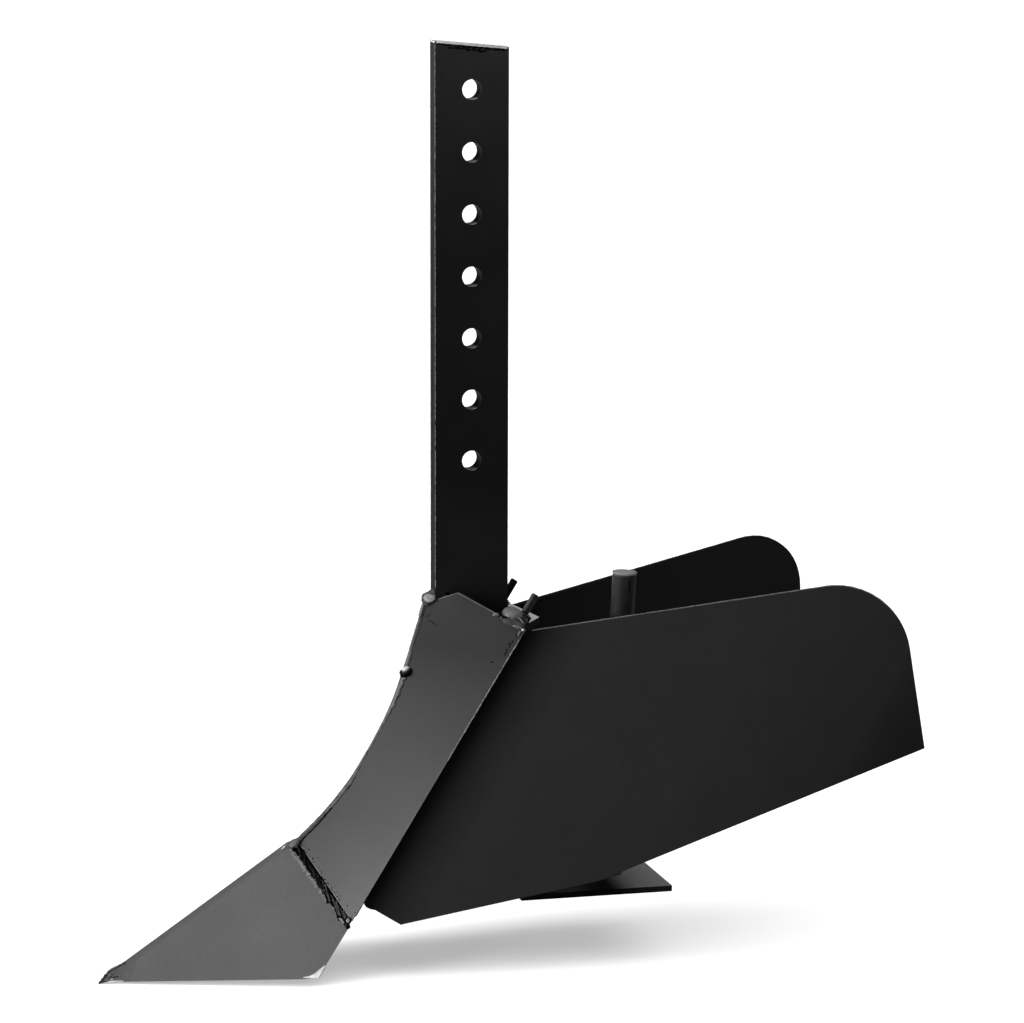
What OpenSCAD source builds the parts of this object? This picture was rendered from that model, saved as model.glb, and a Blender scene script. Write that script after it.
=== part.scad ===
// Walk-behind ridger: a drilled shank, a V nose with a share, two hinged wings and a height-set heel.
// Millimetres. +X points forward, +Y to the left side, +Z up.
// The origin is the centre of the shank's middle hole.

/* [Shank] */
// Width of the shank, fore and aft
shank_w = 49; // [40:1:56]
// Thickness of the shank
shank_t = 12; // [8:0.5:16]
// Diameter of the depth holes
hole_d = 13; // [10:0.5:16]
// Distance from hole to hole
hole_pitch = 40; // [30:1:44]
// Height of the shank above its top hole
shank_head = 29; // [20:1:40]
// Slant of the shank's top end in degrees
shank_top_slant = 5.6; // [0:0.1:10]

/* [Hinges] */
// Backward lean of the hinge axes in degrees
lean = 32; // [26:1:36]
// Distance of the hinge axes behind the shank's centre, at the top of the bosses
hinge_back = 30.5; // [28:0.5:36]
// Depth of the top of the hinge bosses below the middle hole
hinge_drop = 219.5; // [200:0.5:240]
// Diameter of the hinge pins
pin_d = 5; // [4:0.5:6]
// Height of a hinge pin above its boss
pin_stand = 14.5; // [6:0.5:24]
// Outer radius of the bosses and lugs round the pins
lug_r = 5.5; // [4.5:0.1:6]
// Length of a hinge boss
boss_l = 16; // [10:0.5:20]
// Thickness of a wing lug
lug_t = 6; // [4:0.5:8]
// Height of the lower hinge plate's top above the wings' lower edges, along the axes
low_plate_up = 30; // [24:0.5:40]
// Thickness of the lower hinge plate
low_plate_t = 6; // [4:0.5:8]

/* [Nose] */
// Half width of the nose at the flanks' rear edges
flank_half = 39; // [37:0.5:46]
// Thickness of the flanks
flank_t = 4; // [3:0.25:4.5]
// Length of the straight upper part of the ridge
ridge_straight = 52; // [30:0.5:60]
// Slope of the ridge at its top in degrees
ridge_slope = 71.5; // [68:0.5:76]
// Radius of the hollow curve of the ridge
ridge_radius = 228.7; // [200:0.1:250]
// Slope at which the curve of the ridge ends, in degrees
ridge_end_slope = 40; // [36:0.5:44]
// Height of the flank's peak over a straight top edge
peak_rise = 13; // [4:0.5:18]
// Height of the ridge bead over the plates
bead_h = 1.2; // [0.6:0.1:2]
// Width of the ridge bead
bead_w = 3.4; // [2:0.1:5]

/* [Share] */
// Length of the share's ridge
share_ridge = 131; // [110:1:150]
// Slope of the share's ridge in degrees
share_slope = 33.4; // [28:0.1:38]
// Thickness of the share plates
share_t = 5; // [4:0.25:6]
// Depth of the share's toe under the end of its ridge
toe_drop = 12; // [9:0.5:15]
// Gap between flank and share that the weld bead fills
weld_gap = 5.5; // [3:0.25:7]
// Length of the share's rear edge
share_rear = 36.5; // [28:0.5:44]
// Rounding of the share's lower rear corner
share_round = 9; // [2:0.5:14]
// Forward reach of the tip beyond the share's plates
tip_reach = 16.5; // [12:0.5:20]

/* [Wings] */
// Opening of each wing at rest, in degrees from the middle plane
opening = 18.35; // [14:0.05:22]
// Thickness of the wing sheet
wing_t = 3; // [2:0.25:3.5]
// Distance of the wing's outer face from the hinge axis
wing_off = 8.95; // [8.7:0.05:10]
// Distance of the wing's front edge behind the hinge axis
wing_front = 6.2; // [6:0.1:8]
// Slope of the wing's top edge to the hinge square, in degrees
wing_top_slope = 39.2; // [36:0.1:42]
// Length of the wing's top edge, without its rounding
wing_top = 245.3; // [200:1:290]
// Length of the wing's rear edge, without its rounding
wing_rear = 114; // [90:1:130]
// Radius of the wing's top rear corner
wing_corner_r = 48; // [20:1:60]
// Depth of the wing below the boss tops, along the hinge axis
wing_depth = 214.5; // [190:0.5:220]
// How far the wing opens beyond its rest, in degrees
open_more = 9.5; // [4:0.5:9.5]
// How far the wing closes from its rest, in degrees
close_more = 8; // [4:0.5:8]

/* [Wing stays] */
// Radius of the stays' arcs about the hinge axes
stay_r = 80; // [74:0.5:84]
// Width of a stay
stay_w = 18; // [15:0.5:20]
// Thickness of a stay
stay_t = 4; // [3:0.5:5]
// Diameter of the clamp bolt
bolt_d = 8; // [6:0.5:10]

/* [Frog plate] */
// Distance of the frog plate's top below the boss tops, along the axes
frog_u = 44; // [36:0.5:50]
// Thickness of the frog plate
frog_t = 6; // [4:0.5:8]

/* [Heel] */
// Diameter of the heel post
post_d = 16; // [12:0.5:18]
// Length of the heel post
post_l = 204; // [180:1:220]
// Backward lean of the post in degrees
post_lean = 3; // [0:0.5:6]
// Distance of the post's foot behind the shank's centre
post_back = 96; // [90:0.5:104]
// Depth of the post's foot below the middle hole
post_drop = 405.8; // [395:0.5:415]
// Wall of the heel sleeve
sleeve_wall = 5; // [3.5:0.25:6]
// Length of the heel sleeve
sleeve_l = 55; // [40:1:60]
// Height of the sleeve's lower end above the post's foot
sleeve_up = 72; // [66:1:80]
// Length of the sole plate
sole_l = 104; // [80:1:120]
// Width of the sole plate
sole_w = 80; // [60:1:88]
// Thickness of the sole plate
sole_t = 4; // [3:0.5:6]
// Distance from the post's foot to the sole's rear edge
sole_tail = 32.5; // [20:0.5:45]
// Downward slant of the sole to the rear, in degrees
sole_slant = 1; // [0:0.5:4]

/* [Hidden] */
$fn = 64;

// Clearances
run_gap = 0.05;   // pin in a bore, on the radius
slide_gap = 0.08; // post in its sleeve, on the radius
face_gap = 0.3;   // between faces that move past each other
joint_gap = 0.1;  // between pieces that a weld joins
weld_ease = 0.35; // between the share's bead and the plates at its sides
far = 400;        // longer than any cut needs to be

// Colours
PAINT = [0.36, 0.37, 0.38];
DARK = [0.14, 0.14, 0.15];
BLACK = [0.06, 0.06, 0.06];
ZINC = [0.62, 0.63, 0.64];

// The hinge frame: x forward and up, y outwards, z up along the left axis
hinge_inset = 15;              // from the flanks' outer faces to the hinge axes
hinge_half = flank_half - hinge_inset;
edge_r = 1;                    // the flanks' rear edges lie this far behind the hinge axes
flank_top_u = -8;
flank_overhang = 25.9;         // the rear edges run this much deeper than the ridge's end
function world(r, y, u) = [-hinge_back - r * cos(lean) - u * sin(lean), y,
    -hinge_drop - r * sin(lean) + u * cos(lean)];

function hinge_r(p) = -(p[0] + hinge_back) * cos(lean) - (p[2] + hinge_drop) * sin(lean);
function hinge_u(p) = -(p[0] + hinge_back) * sin(lean) + (p[2] + hinge_drop) * cos(lean);

// Ridge of the nose, from its top down to the share, at the middle plane
ridge_top_x = 32;
ridge_top_up = 6;              // over the boss tops
ridge_top = [ridge_top_x, ridge_top_up - hinge_drop];
ridge_len = ridge_straight + ridge_radius * (ridge_slope - ridge_end_slope) * PI / 180;
rows = 18;
function ridge_angle(s) = s < ridge_straight ? ridge_slope
    : ridge_slope - (s - ridge_straight) / ridge_radius * 180 / PI;
function ridge_xz(s) = let (a = ridge_angle(s), l = min(s, ridge_straight))
    ridge_top + [l * cos(ridge_slope), -l * sin(ridge_slope)]
    + ridge_radius * [sin(ridge_slope) - sin(a), cos(ridge_slope) - cos(a)];
function ridge_in(s) = let (a = ridge_angle(s)) [-sin(a), 0, -cos(a)];
function crest(s) = [ridge_xz(s)[0], 0, ridge_xz(s)[1]];
function apex(s) = crest(s) + bead_h * ridge_in(s);

// One ruling of the left flank for each row: from the apex to the rear edge
flank_low_u = hinge_u(crest(ridge_len)) - flank_overhang;
function edge_at(f) = world(edge_r, flank_half, flank_top_u + (flank_low_u - flank_top_u) * f);
function ruling(f, v) = apex(f * ridge_len) * (1 - v) + edge_at(f) * v;
function unit(a) = a / norm(a);
function flank_normal(f) = let (g = max(0.01, min(0.99, f)))
    unit(cross(ruling(f, 1) - ruling(f, 0), ruling(g - 0.01, 0.5) - ruling(g + 0.01, 0.5)));
function to_mid(a, b, y) = a + (b - a) * (y - a[1]) / (b[1] - a[1]);
function to_edge(a, b) = a + (b - a) * (edge_r - hinge_r(a)) / (hinge_r(b) - hinge_r(a));
peak_at = 0.334;
function rise(i, j) = i == 0 && j == 1 ? [0, 0, peak_rise] : [0, 0, 0];
mid_y = joint_gap / 2;
function flank_out(i) = let (f = i / rows, v0 = mid_y / flank_half)
    [ruling(f, v0), ruling(f, peak_at) + rise(i, 1), ruling(f, 1)];
function flank_in(i) = let (f = i / rows, d = -flank_t * flank_normal(f), a = ruling(f, 0) + d,
    b = ruling(f, 1) + d) [to_mid(a, b, mid_y), ruling(f, peak_at) + d + rise(i, 1), to_edge(a, b)];

// Share: its ridge runs on from the flank's foot
ridge_end = crest(ridge_len);
share_dir = [cos(share_slope), 0, -sin(share_slope)];
share_step = 0.8;              // the share's ridge stands this much proud of the flanks'
share_top = ridge_end + weld_gap * share_dir + [0, 0, share_step];
share_end = share_top + share_ridge * share_dir;
share_back = [-sin(share_slope), 0, -cos(share_slope)];
share_foot = share_end + bead_h * share_back;
share_rear_top = world(edge_r, flank_half, flank_low_u - weld_gap);
share_n = unit(cross(share_rear_top - share_foot, -share_dir));
function on_share(p) = [p[0], -(share_n[0] * (p[0] - share_foot[0]) + share_n[2] * (p[2] - share_foot[2])) / share_n[1],
    p[2]];
rear_sweep = 2.6;              // the lower rear corner lies this far before the hinge axes' line
toe_reach = 2;
toe_t = 2.6;                   // the share's thickness at its toe, fore and aft
share_rear_low = on_share(world(-rear_sweep, 0, flank_low_u - weld_gap - share_rear));
share_toe = on_share([share_end[0] + toe_reach, 0, share_end[2] - toe_drop]);
function flip_y(p) = [p[0], -p[1], p[2]];

// Wing outline, with s behind the hinge axis along the wing and u up along the axis
wing_head = [wing_front, flank_top_u - 1];
top_dir = [cos(wing_top_slope), sin(wing_top_slope)];
rear_dir = [sin(wing_top_slope), -cos(wing_top_slope)];
wing_corner = wing_head + (wing_top - 0.2) * top_dir;
wing_heel = wing_corner + wing_rear * rear_dir;
knee_back = 130.5;
knee_up = 90.5;
toe_back = 34;
wing_knee = [knee_back, knee_up - wing_depth];
wing_toe = [toe_back, -wing_depth];
function arc(c, r, a0, a1, n) = [for (i = [0:n]) c + r * [cos(a0 + (a1 - a0) * i / n), sin(a0 + (a1 - a0) * i / n)]];
wing_outline = concat([wing_head], arc(wing_corner + wing_corner_r * (rear_dir - top_dir), wing_corner_r,
    wing_top_slope + 90, wing_top_slope, 16), [wing_heel, wing_knee, wing_toe, [wing_front, -wing_depth]]);

// Levels along the hinge axes, downwards from the boss tops
upper_lug_u = boss_l + face_gap;
low_plate_u = wing_depth - low_plate_up;
lower_lug_u = low_plate_u - face_gap - lug_t;
left_stay_u = frog_u + frog_t + face_gap;
right_stay_u = left_stay_u + stay_t + face_gap;
washer_u = right_stay_u + stay_t + face_gap;
washer_t = 1.6;
nut_h = bolt_d * 0.8;
bolt_r_at = sqrt(stay_r * stay_r - hinge_half * hinge_half);
bolt_angle = opening + asin(hinge_half / stay_r);
slot_w = bolt_d + 0.6;
slot_ease = 0.8;
pin_low_u = low_plate_u + low_plate_t + 10;
split_d = 1.6;

// Heel
sleeve_r = post_d / 2 + slide_gap + sleeve_wall;
screw_d = 8;
screw_at = sleeve_up + sleeve_l - 14;
screw_boss_l = 7;

module sided(side) {
    if (side > 0) children();
    else mirror([0, 1, 0]) children();
}

// Middle plane at the hinges' height, leaning with them
module at_section() {
    translate([-hinge_back, 0, -hinge_drop]) rotate([0, -lean, 0]) children();
}

module at_hinge(side) {
    sided(side) at_section() translate([0, hinge_half, 0]) children();
}

// Turned with the wing: x forward along the wing, y out of its outer face
module at_wing(side) {
    at_hinge(side) rotate([0, 0, -opening]) children();
}

module at_post() {
    translate([-post_back, 0, -post_drop]) rotate([0, -post_lean, 0]) children();
}

module at_sole() {
    translate([-post_back, 0, -post_drop]) rotate([0, -sole_slant, 0]) children();
}

// A closed plate between two grids of points, rows going down and columns to the right as seen from outside
module shell(outer, inner) {
    n = len(outer);
    m = len(outer[0]);
    function o(i, j) = i * m + j;
    function q(i, j) = n * m + i * m + j;
    function quad(a, b, c, d) = [[a, b, c], [a, c, d]];
    faces = concat(
        [for (i = [0:n - 2], j = [0:m - 2]) each quad(o(i, j), o(i, j + 1), o(i + 1, j + 1), o(i + 1, j))],
        [for (i = [0:n - 2], j = [0:m - 2]) each quad(q(i, j), q(i + 1, j), q(i + 1, j + 1), q(i, j + 1))],
        [for (j = [0:m - 2]) each quad(o(0, j + 1), o(0, j), q(0, j), q(0, j + 1))],
        [for (j = [0:m - 2]) each quad(o(n - 1, j), o(n - 1, j + 1), q(n - 1, j + 1), q(n - 1, j))],
        [for (i = [0:n - 2]) each quad(o(i, 0), o(i + 1, 0), q(i + 1, 0), q(i, 0))],
        [for (i = [0:n - 2]) each quad(o(i + 1, m - 1), o(i, m - 1), q(i, m - 1), q(i + 1, m - 1))]);
    polyhedron(points = concat([for (row = outer) each row], [for (row = inner) each row]), faces = faces);
}

module hexagon(across, h) {
    cylinder(d = across / cos(30), h = h, $fn = 6);
}

// Front edge of the shank's foot: it follows the inner faces of the flanks
function foot_pt(i) = let (f = i / rows, d = -flank_t * flank_normal(f),
    p = to_mid(ruling(f, 0) + d, ruling(f, 1) + d, shank_t / 2)) [min(shank_w / 2, p[0] - face_gap), p[2]];
foot_drop = 290;
foot = [for (i = [0:rows]) if (foot_pt(i)[1] > -foot_drop) foot_pt(i)];

module shank() {
    rear = -shank_w / 2;
    top = 3 * hole_pitch + shank_head;
    rise_half = shank_w / 2 * tan(shank_top_slant);
    notch = ridge_top[1] + 4;
    color(DARK) difference() {
        rotate([90, 0, 0]) linear_extrude(shank_t, center = true)
            polygon(concat([[rear, -foot_drop], [rear, top - rise_half], [-rear, top + rise_half],
                [-rear, notch], [foot[0][0], notch + 4]], foot, [[foot[len(foot) - 1][0], -foot_drop]]));
        for (i = [-3:3]) translate([0, 0, i * hole_pitch]) rotate([90, 0, 0])
            cylinder(d = hole_d, h = far, center = true);
    }
}

module flank(side) {
    color(PAINT) sided(side)
        shell([for (i = [0:rows]) flank_out(i)], [for (i = [0:rows]) flank_in(i)]);
}

module left_flank() { flank(1); }
module right_flank() { flank(-1); }

// Bead over the joint of the two flanks
function bead_row(f, lift) = let (foot = ruling(f, bead_w / 2 / flank_half) + lift * flank_normal(f))
    [flip_y(foot), lift < bead_h / 3 ? apex(f * ridge_len) - lift * ridge_in(f * ridge_len) : crest(f * ridge_len), foot];

// It starts just below the top
bead_at = [for (i = [0:rows]) max(0.2, i) / rows];

module nose_weld() {
    color(DARK) difference() {
        shell([for (f = bead_at) bead_row(f, bead_h / 2)], [for (f = bead_at) bead_row(f, joint_gap)]);
        translate(nugget_at) sphere(d = nugget_d + 2 * joint_gap, $fn = 48);
    }
}

// Drop of weld metal that was left on the ridge
nugget_d = 7;
nugget_s = 47.3;
nugget_at = crest(nugget_s) + [-4.1, 2.4, 0];

function nose_row(s, lift, depth) = let (f = s / ridge_len,
    p = ruling(f, nugget_d / flank_half) + lift * flank_normal(f) + depth * ridge_in(s))
    [flip_y(p), apex(s) + (depth - 2 * lift) * ridge_in(s), p];

module nose_nugget() {
    reach = [for (k = [-nugget_d, 0, nugget_d]) nugget_s + k];
    color(PAINT) difference() {
        translate(nugget_at) sphere(d = nugget_d, $fn = 48);
        shell([for (s = reach) nose_row(s, joint_gap, 0)], [for (s = reach) nose_row(s, joint_gap, 3 * nugget_d)]);
    }
}

// Left share plate: flat, with a rounded lower rear corner
function share_ridge_pt(t, y, depth) = share_top * (1 - t) + share_end * t + bead_h * share_back + [0, y, 0]
    - (depth + y * share_n[1]) / (1 - share_n[1] * share_n[1]) * [share_n[0], 0, share_n[2]];
function share_corner(t) = share_rear_low - share_round * pow(1 - t, 2) * unit(share_rear_low - share_rear_top)
    + share_round * t * t * unit(share_toe - share_rear_low);
share_in_y = [0, share_t / share_n[1], 0];
share_rear_pts = concat([share_rear_top], [for (t = [0:0.25:1]) share_corner(t)]);
share_at = [0, 0.3, 0.55, 0.8, 1];
share_outer = [for (i = [0:5]) [i < 5 ? share_ridge_pt(share_at[i], mid_y, 0) : share_toe, share_rear_pts[i]]];
share_inner = [for (i = [0:5]) [i < 5 ? share_ridge_pt(share_at[i], mid_y, share_t)
    : share_toe - [toe_t, share_toe[1] - mid_y, 0], share_rear_pts[i] - share_in_y]];

module share(side) {
    color(PAINT) sided(side) shell(share_outer, share_inner);
}

module left_share() { share(1); }
module right_share() { share(-1); }

// Bead over the joint of the two share plates
function share_bead_row(t, lift) = let (foot = share_ridge_pt(t, bead_w / 2, -lift))
    [flip_y(foot), lift < bead_h / 3 ? share_ridge_pt(t, 0, -lift) : share_top * (1 - t) + share_end * t, foot];

module share_ridge_weld() {
    color(PAINT) shell([share_bead_row(0, bead_h / 2), share_bead_row(1, bead_h / 2)],
        [share_bead_row(0, joint_gap), share_bead_row(1, joint_gap)]);
}

// Forged point in front of the share plates
module share_tip() {
    gap = joint_gap * 2;
    top = share_end + [gap, 0, -0.6];
    low = [share_toe[0] + gap, 0, share_toe[2]];
    brow = share_end + [tip_reach - 5.5, 0, -3.8];
    nose = [share_end[0] + tip_reach, 0, low[2] - 1];
    function pair(p, half) = [[p[0], -half, p[2]], [p[0], half, p[2]]];
    color(PAINT) shell([pair(top, 1.6), pair(brow, 1.8), pair(nose, 1.2)],
        [pair(top - [0, 0, 1], 1.6), pair((top + low) / 2, 2.4), pair(low, share_toe[1])]);
}

// Bead in the gap between flank and share
function between(a, b, t) = a * (1 - t) + b * t;
weld_crown = 1.5;
function bead_ends(out_a, out_b, in_a, in_b, n) =
    let (e = weld_ease / norm(out_b - out_a), g = weld_ease / norm(in_b - in_a))
    [[between(out_a, out_b, e), between(out_a, out_b, 0.5) + weld_crown * n, between(out_a, out_b, 1 - e)],
    [between(in_a, in_b, g), between(in_a, in_b, 0.5), between(in_a, in_b, 1 - g)]];

module share_weld(side) {
    f = flank_out(rows);
    g = flank_in(rows);
    front = bead_ends(f[0], share_outer[0][0], g[0], share_inner[0][0], flank_normal(1));
    rear = bead_ends(f[2], share_outer[0][1], g[2], share_inner[0][1], flank_normal(1));
    color(BLACK) sided(side) shell([for (k = [0:2]) [front[0][k], rear[0][k]]],
        [for (k = [0:2]) [front[1][k], rear[1][k]]]);
}

module left_share_weld() { share_weld(1); }
module right_share_weld() { share_weld(-1); }

// Folded cap behind the shank: a roof with its crest on the middle plane
cap_pitch = 27.65;
cap_roll = 14.1;
cap_tail = 17.5;
cap_t = 4;

module cap_half(side) {
    rear = -shank_w / 2 - joint_gap;
    tail = -hinge_back - cap_tail;
    sided(side) intersection() {
        translate([0, 0, -far]) linear_extrude(2 * far)
            polygon([[rear, 0], [rear, flank_half - 9], [rear - 2.4, flank_half - 7], [tail, 0]]);
        translate([tail, 0, -hinge_drop - 8.5]) rotate([-cap_roll, -cap_pitch, 0])
            translate([-far / 2, -far / 2, -cap_t]) cube([far, far, cap_t]);
    }
}

module cap_plate() {
    color(ZINC) difference() {
        union() {
            cap_half(1);
            cap_half(-1);
        }
        for (side = [-1, 1]) at_hinge(side) cylinder(r = lug_r + joint_gap, h = far, center = true);
    }
}

module pin_boss(side) {
    color(PAINT) at_hinge(side) difference() {
        translate([0, 0, -boss_l]) cylinder(r = lug_r, h = boss_l);
        cylinder(d = pin_d + 2 * run_gap, h = far, center = true);
    }
}

module left_pin_boss() { pin_boss(1); }
module right_pin_boss() { pin_boss(-1); }

module pin_holes() {
    for (y = [-hinge_half, hinge_half]) translate([0, y, 0])
        cylinder(d = pin_d + 2 * run_gap, h = far, center = true);
}

// Plate across the nose that carries the clamp bolt and the heel sleeve
// It reaches to where the post's axis passes through it
frog_rim = 6;
post_up = ((post_drop - hinge_drop) * cos(lean) - (post_back - hinge_back) * sin(lean) - frog_u - frog_t / 2)
    / cos(lean - post_lean);
frog_tail = (post_back - hinge_back + post_up * sin(post_lean)) * cos(lean)
    + (post_drop - hinge_drop - post_up * cos(post_lean)) * sin(lean);

module frog_plate() {
    color(PAINT) difference() {
        at_section() translate([0, 0, -frog_u - frog_t]) difference() {
            linear_extrude(frog_t) hull() {
                for (y = [-hinge_half, hinge_half]) translate([0, y]) circle(r = lug_r, $fn = 32);
                translate([-frog_tail, 0]) circle(r = sleeve_r + frog_rim, $fn = 32);
            }
            pin_holes();
            translate([-bolt_r_at, 0, 0]) cylinder(d = bolt_d + 0.4, h = far, center = true);
        }
        translate([-shank_w / 2 - joint_gap, -shank_t / 2 - joint_gap, -far])
            cube([far, shank_t + 2 * joint_gap, far]);
        at_post() cylinder(r = sleeve_r + joint_gap, h = far);
    }
}

// Plate between the flanks: it reaches forward to a set distance behind the ridge
low_plate_setback = 14.8;
low_plate_nose_r = 3;
ridge_reach = [for (i = [0:rows]) let (p = crest(ridge_len * (1 - i / rows))) [hinge_u(p), -hinge_r(p)]];

module lower_hinge_plate() {
    front = lookup(-low_plate_u, ridge_reach) - low_plate_setback;
    color(PAINT) at_section() translate([0, 0, -low_plate_u - low_plate_t]) difference() {
        linear_extrude(low_plate_t) hull() {
            for (y = [-hinge_half, hinge_half]) translate([0, y]) circle(r = lug_r, $fn = 32);
            translate([front, 0]) circle(r = low_plate_nose_r, $fn = 32);
        }
        pin_holes();
    }
}

module hinge_pin(side) {
    bevel = 0.6;
    color(ZINC) at_hinge(side) difference() {
        union() {
            translate([0, 0, -pin_low_u]) cylinder(d = pin_d, h = pin_low_u + pin_stand - bevel);
            translate([0, 0, pin_stand - bevel]) cylinder(d1 = pin_d, d2 = pin_d - 2 * bevel, h = bevel);
        }
        for (u = [split_upper_u, split_lower_u]) translate([0, 0, -u]) rotate([90, 0, 0])
            cylinder(d = split_d + 0.2, h = far, center = true);
    }
}

split_upper_u = frog_u - split_d / 2 - face_gap;
split_lower_u = low_plate_u + low_plate_t + split_d / 2 + face_gap;

module left_hinge_pin() { hinge_pin(1); }
module right_hinge_pin() { hinge_pin(-1); }

// Split pins above the frog plate and under the lower plate: a wire with an eye
module split_pins(side) {
    eye_d = 6;
    wire_l = pin_d + 5;
    color(ZINC) at_hinge(side) for (u = [split_upper_u, split_lower_u]) translate([0, 0, -u]) {
        rotate([90, 0, 0]) cylinder(d = split_d, h = wire_l, center = true, $fn = 24);
        translate([0, -wire_l / 2 - eye_d / 2 + 0.9, 0]) difference() {
            cylinder(d = eye_d, h = split_d - 0.2, center = true, $fn = 32);
            cylinder(d = eye_d - 2 * split_d, h = far, center = true, $fn = 32);
        }
    }
}

module left_split_pins() { split_pins(1); }
module right_split_pins() { split_pins(-1); }

module heel_sleeve() {
    color(PAINT) at_post() difference() {
        translate([0, 0, sleeve_up]) cylinder(r = sleeve_r, h = sleeve_l);
        cylinder(d = post_d + 2 * slide_gap, h = far);
        translate([0, 0, screw_at]) rotate([0, -90, 0]) cylinder(d = screw_d + 0.4, h = far);
    }
}

module at_screw(d) {
    at_post() translate([0, 0, screw_at]) rotate([0, -90, 0]) translate([0, 0, d]) children();
}

// Nut welded behind the sleeve for the set screw
module set_screw_boss() {
    color(PAINT) difference() {
        at_screw(sleeve_r - 1) hexagon(13, screw_boss_l);
        at_post() cylinder(r = sleeve_r + joint_gap, h = far);
        at_screw(0) cylinder(d = screw_d + 0.2, h = far);
    }
}

module set_screw() {
    head = 13;
    tail_l = sleeve_r - 1 + screw_boss_l + lock_t + 8;
    color(ZINC) {
        at_screw(post_d / 2 + joint_gap) cylinder(d = screw_d, h = tail_l - post_d / 2 - joint_gap);
        at_screw(tail_l) hexagon(head, 5.3);
    }
}

lock_t = 5;

module lock_nut() {
    color(ZINC) difference() {
        at_screw(sleeve_r - 1 + screw_boss_l + joint_gap) hexagon(13, lock_t);
        at_screw(0) cylinder(d = screw_d + 0.2, h = far);
    }
}

module at_clamp(u) {
    at_section() translate([-bolt_r_at, 0, -u]) children();
}

module clamp_bolt() {
    head_h = bolt_d * 0.65;
    color(ZINC) {
        at_clamp(frog_u) hexagon(bolt_d * 1.6, head_h);
        at_clamp(washer_u + washer_t + nut_h + 5) cylinder(d = bolt_d, h = washer_u + washer_t + nut_h + 5 - frog_u);
    }
}

module clamp_washer() {
    color(ZINC) at_clamp(washer_u + washer_t) difference() {
        cylinder(d = bolt_d * 2.2, h = washer_t);
        cylinder(d = bolt_d + 0.4, h = far, center = true);
    }
}

module clamp_nut() {
    color(ZINC) at_clamp(washer_u + washer_t + nut_h + joint_gap) difference() {
        hexagon(bolt_d * 1.6, nut_h);
        cylinder(d = bolt_d + 0.2, h = far, center = true);
    }
}

module heel_post() {
    color(DARK) difference() {
        at_post() {
            translate([0, 0, -5]) cylinder(d = post_d, h = post_l + 4);
            translate([0, 0, post_l - 1]) cylinder(d1 = post_d, d2 = post_d - 2, h = 1);
        }
        at_sole() translate([-far / 2, -far / 2, -far]) cube([far, far, far]);
    }
}

module sole_plate() {
    color(DARK) at_sole() translate([-sole_tail, -sole_w / 2, -sole_t]) cube([sole_l, sole_w, sole_t]);
}

module wing(side) {
    color(DARK) at_wing(side) translate([0, wing_off, 0]) rotate([90, 0, 0]) linear_extrude(wing_t)
        polygon([for (p = wing_outline) [-p[0], p[1]]]);
}

module left_wing() { wing(1); }
module right_wing() { wing(-1); }

// Lug round the hinge pin with a foot along the wing's inner face
module wing_lug(side, u) {
    inner = wing_off - wing_t;
    foot_l = 22;
    foot_t = 0.6;
    foot_front = 8;
    color(DARK) at_wing(side) translate([0, 0, -u - lug_t]) difference() {
        linear_extrude(lug_t) hull() {
            circle(r = lug_r, $fn = 32);
            translate([-foot_front - foot_l, inner - foot_t]) square([foot_l, foot_t]);
        }
        cylinder(d = pin_d + 2 * run_gap, h = far, center = true);
    }
}

module left_upper_lug() { wing_lug(1, upper_lug_u); }
module left_lower_lug() { wing_lug(1, lower_lug_u); }
module right_upper_lug() { wing_lug(-1, upper_lug_u); }
module right_lower_lug() { wing_lug(-1, lower_lug_u); }

// Slotted arc about the hinge axis, welded to the wing's inner face
module ring_sector(r0, r1, a0, a1, h) {
    rotate([0, 0, 180 + a0]) rotate_extrude(angle = a1 - a0, $fn = 180) translate([r0, 0]) square([r1 - r0, h]);
}

module stay(side, u) {
    first = bolt_angle - close_more - slot_ease;
    last = bolt_angle + open_more + slot_ease;
    tail = last + (slot_w / 2 + 5) / stay_r * 180 / PI;
    color(DARK) at_wing(side) translate([0, 0, -u - stay_t]) difference() {
        ring_sector(stay_r - stay_w / 2, stay_r + stay_w / 2, -12, tail, stay_t);
        translate([0, 0, -1]) ring_sector(stay_r - slot_w / 2, stay_r + slot_w / 2, first, last, stay_t + 2);
        for (a = [first, last]) rotate([0, 0, 180 + a]) translate([stay_r, 0, -1])
            cylinder(d = slot_w, h = stay_t + 2);
        translate([-far, wing_off - wing_t, -1]) cube([2 * far, far, stay_t + 2]);
    }
}

module left_stay() { stay(1, left_stay_u); }
module right_stay() { stay(-1, right_stay_u); }

shank();
left_flank();
right_flank();
nose_weld();
nose_nugget();
left_share();
right_share();
share_ridge_weld();
share_tip();
left_share_weld();
right_share_weld();
cap_plate();
left_pin_boss();
right_pin_boss();
frog_plate();
lower_hinge_plate();
left_hinge_pin();
right_hinge_pin();
left_split_pins();
right_split_pins();
heel_sleeve();
set_screw_boss();
set_screw();
lock_nut();
clamp_bolt();
clamp_washer();
clamp_nut();
heel_post();
sole_plate();
left_wing();
left_upper_lug();
left_lower_lug();
left_stay();
right_wing();
right_upper_lug();
right_lower_lug();
right_stay();
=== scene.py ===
import math
import random

import bmesh
import bpy
from mathutils import Matrix, Vector, noise

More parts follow.
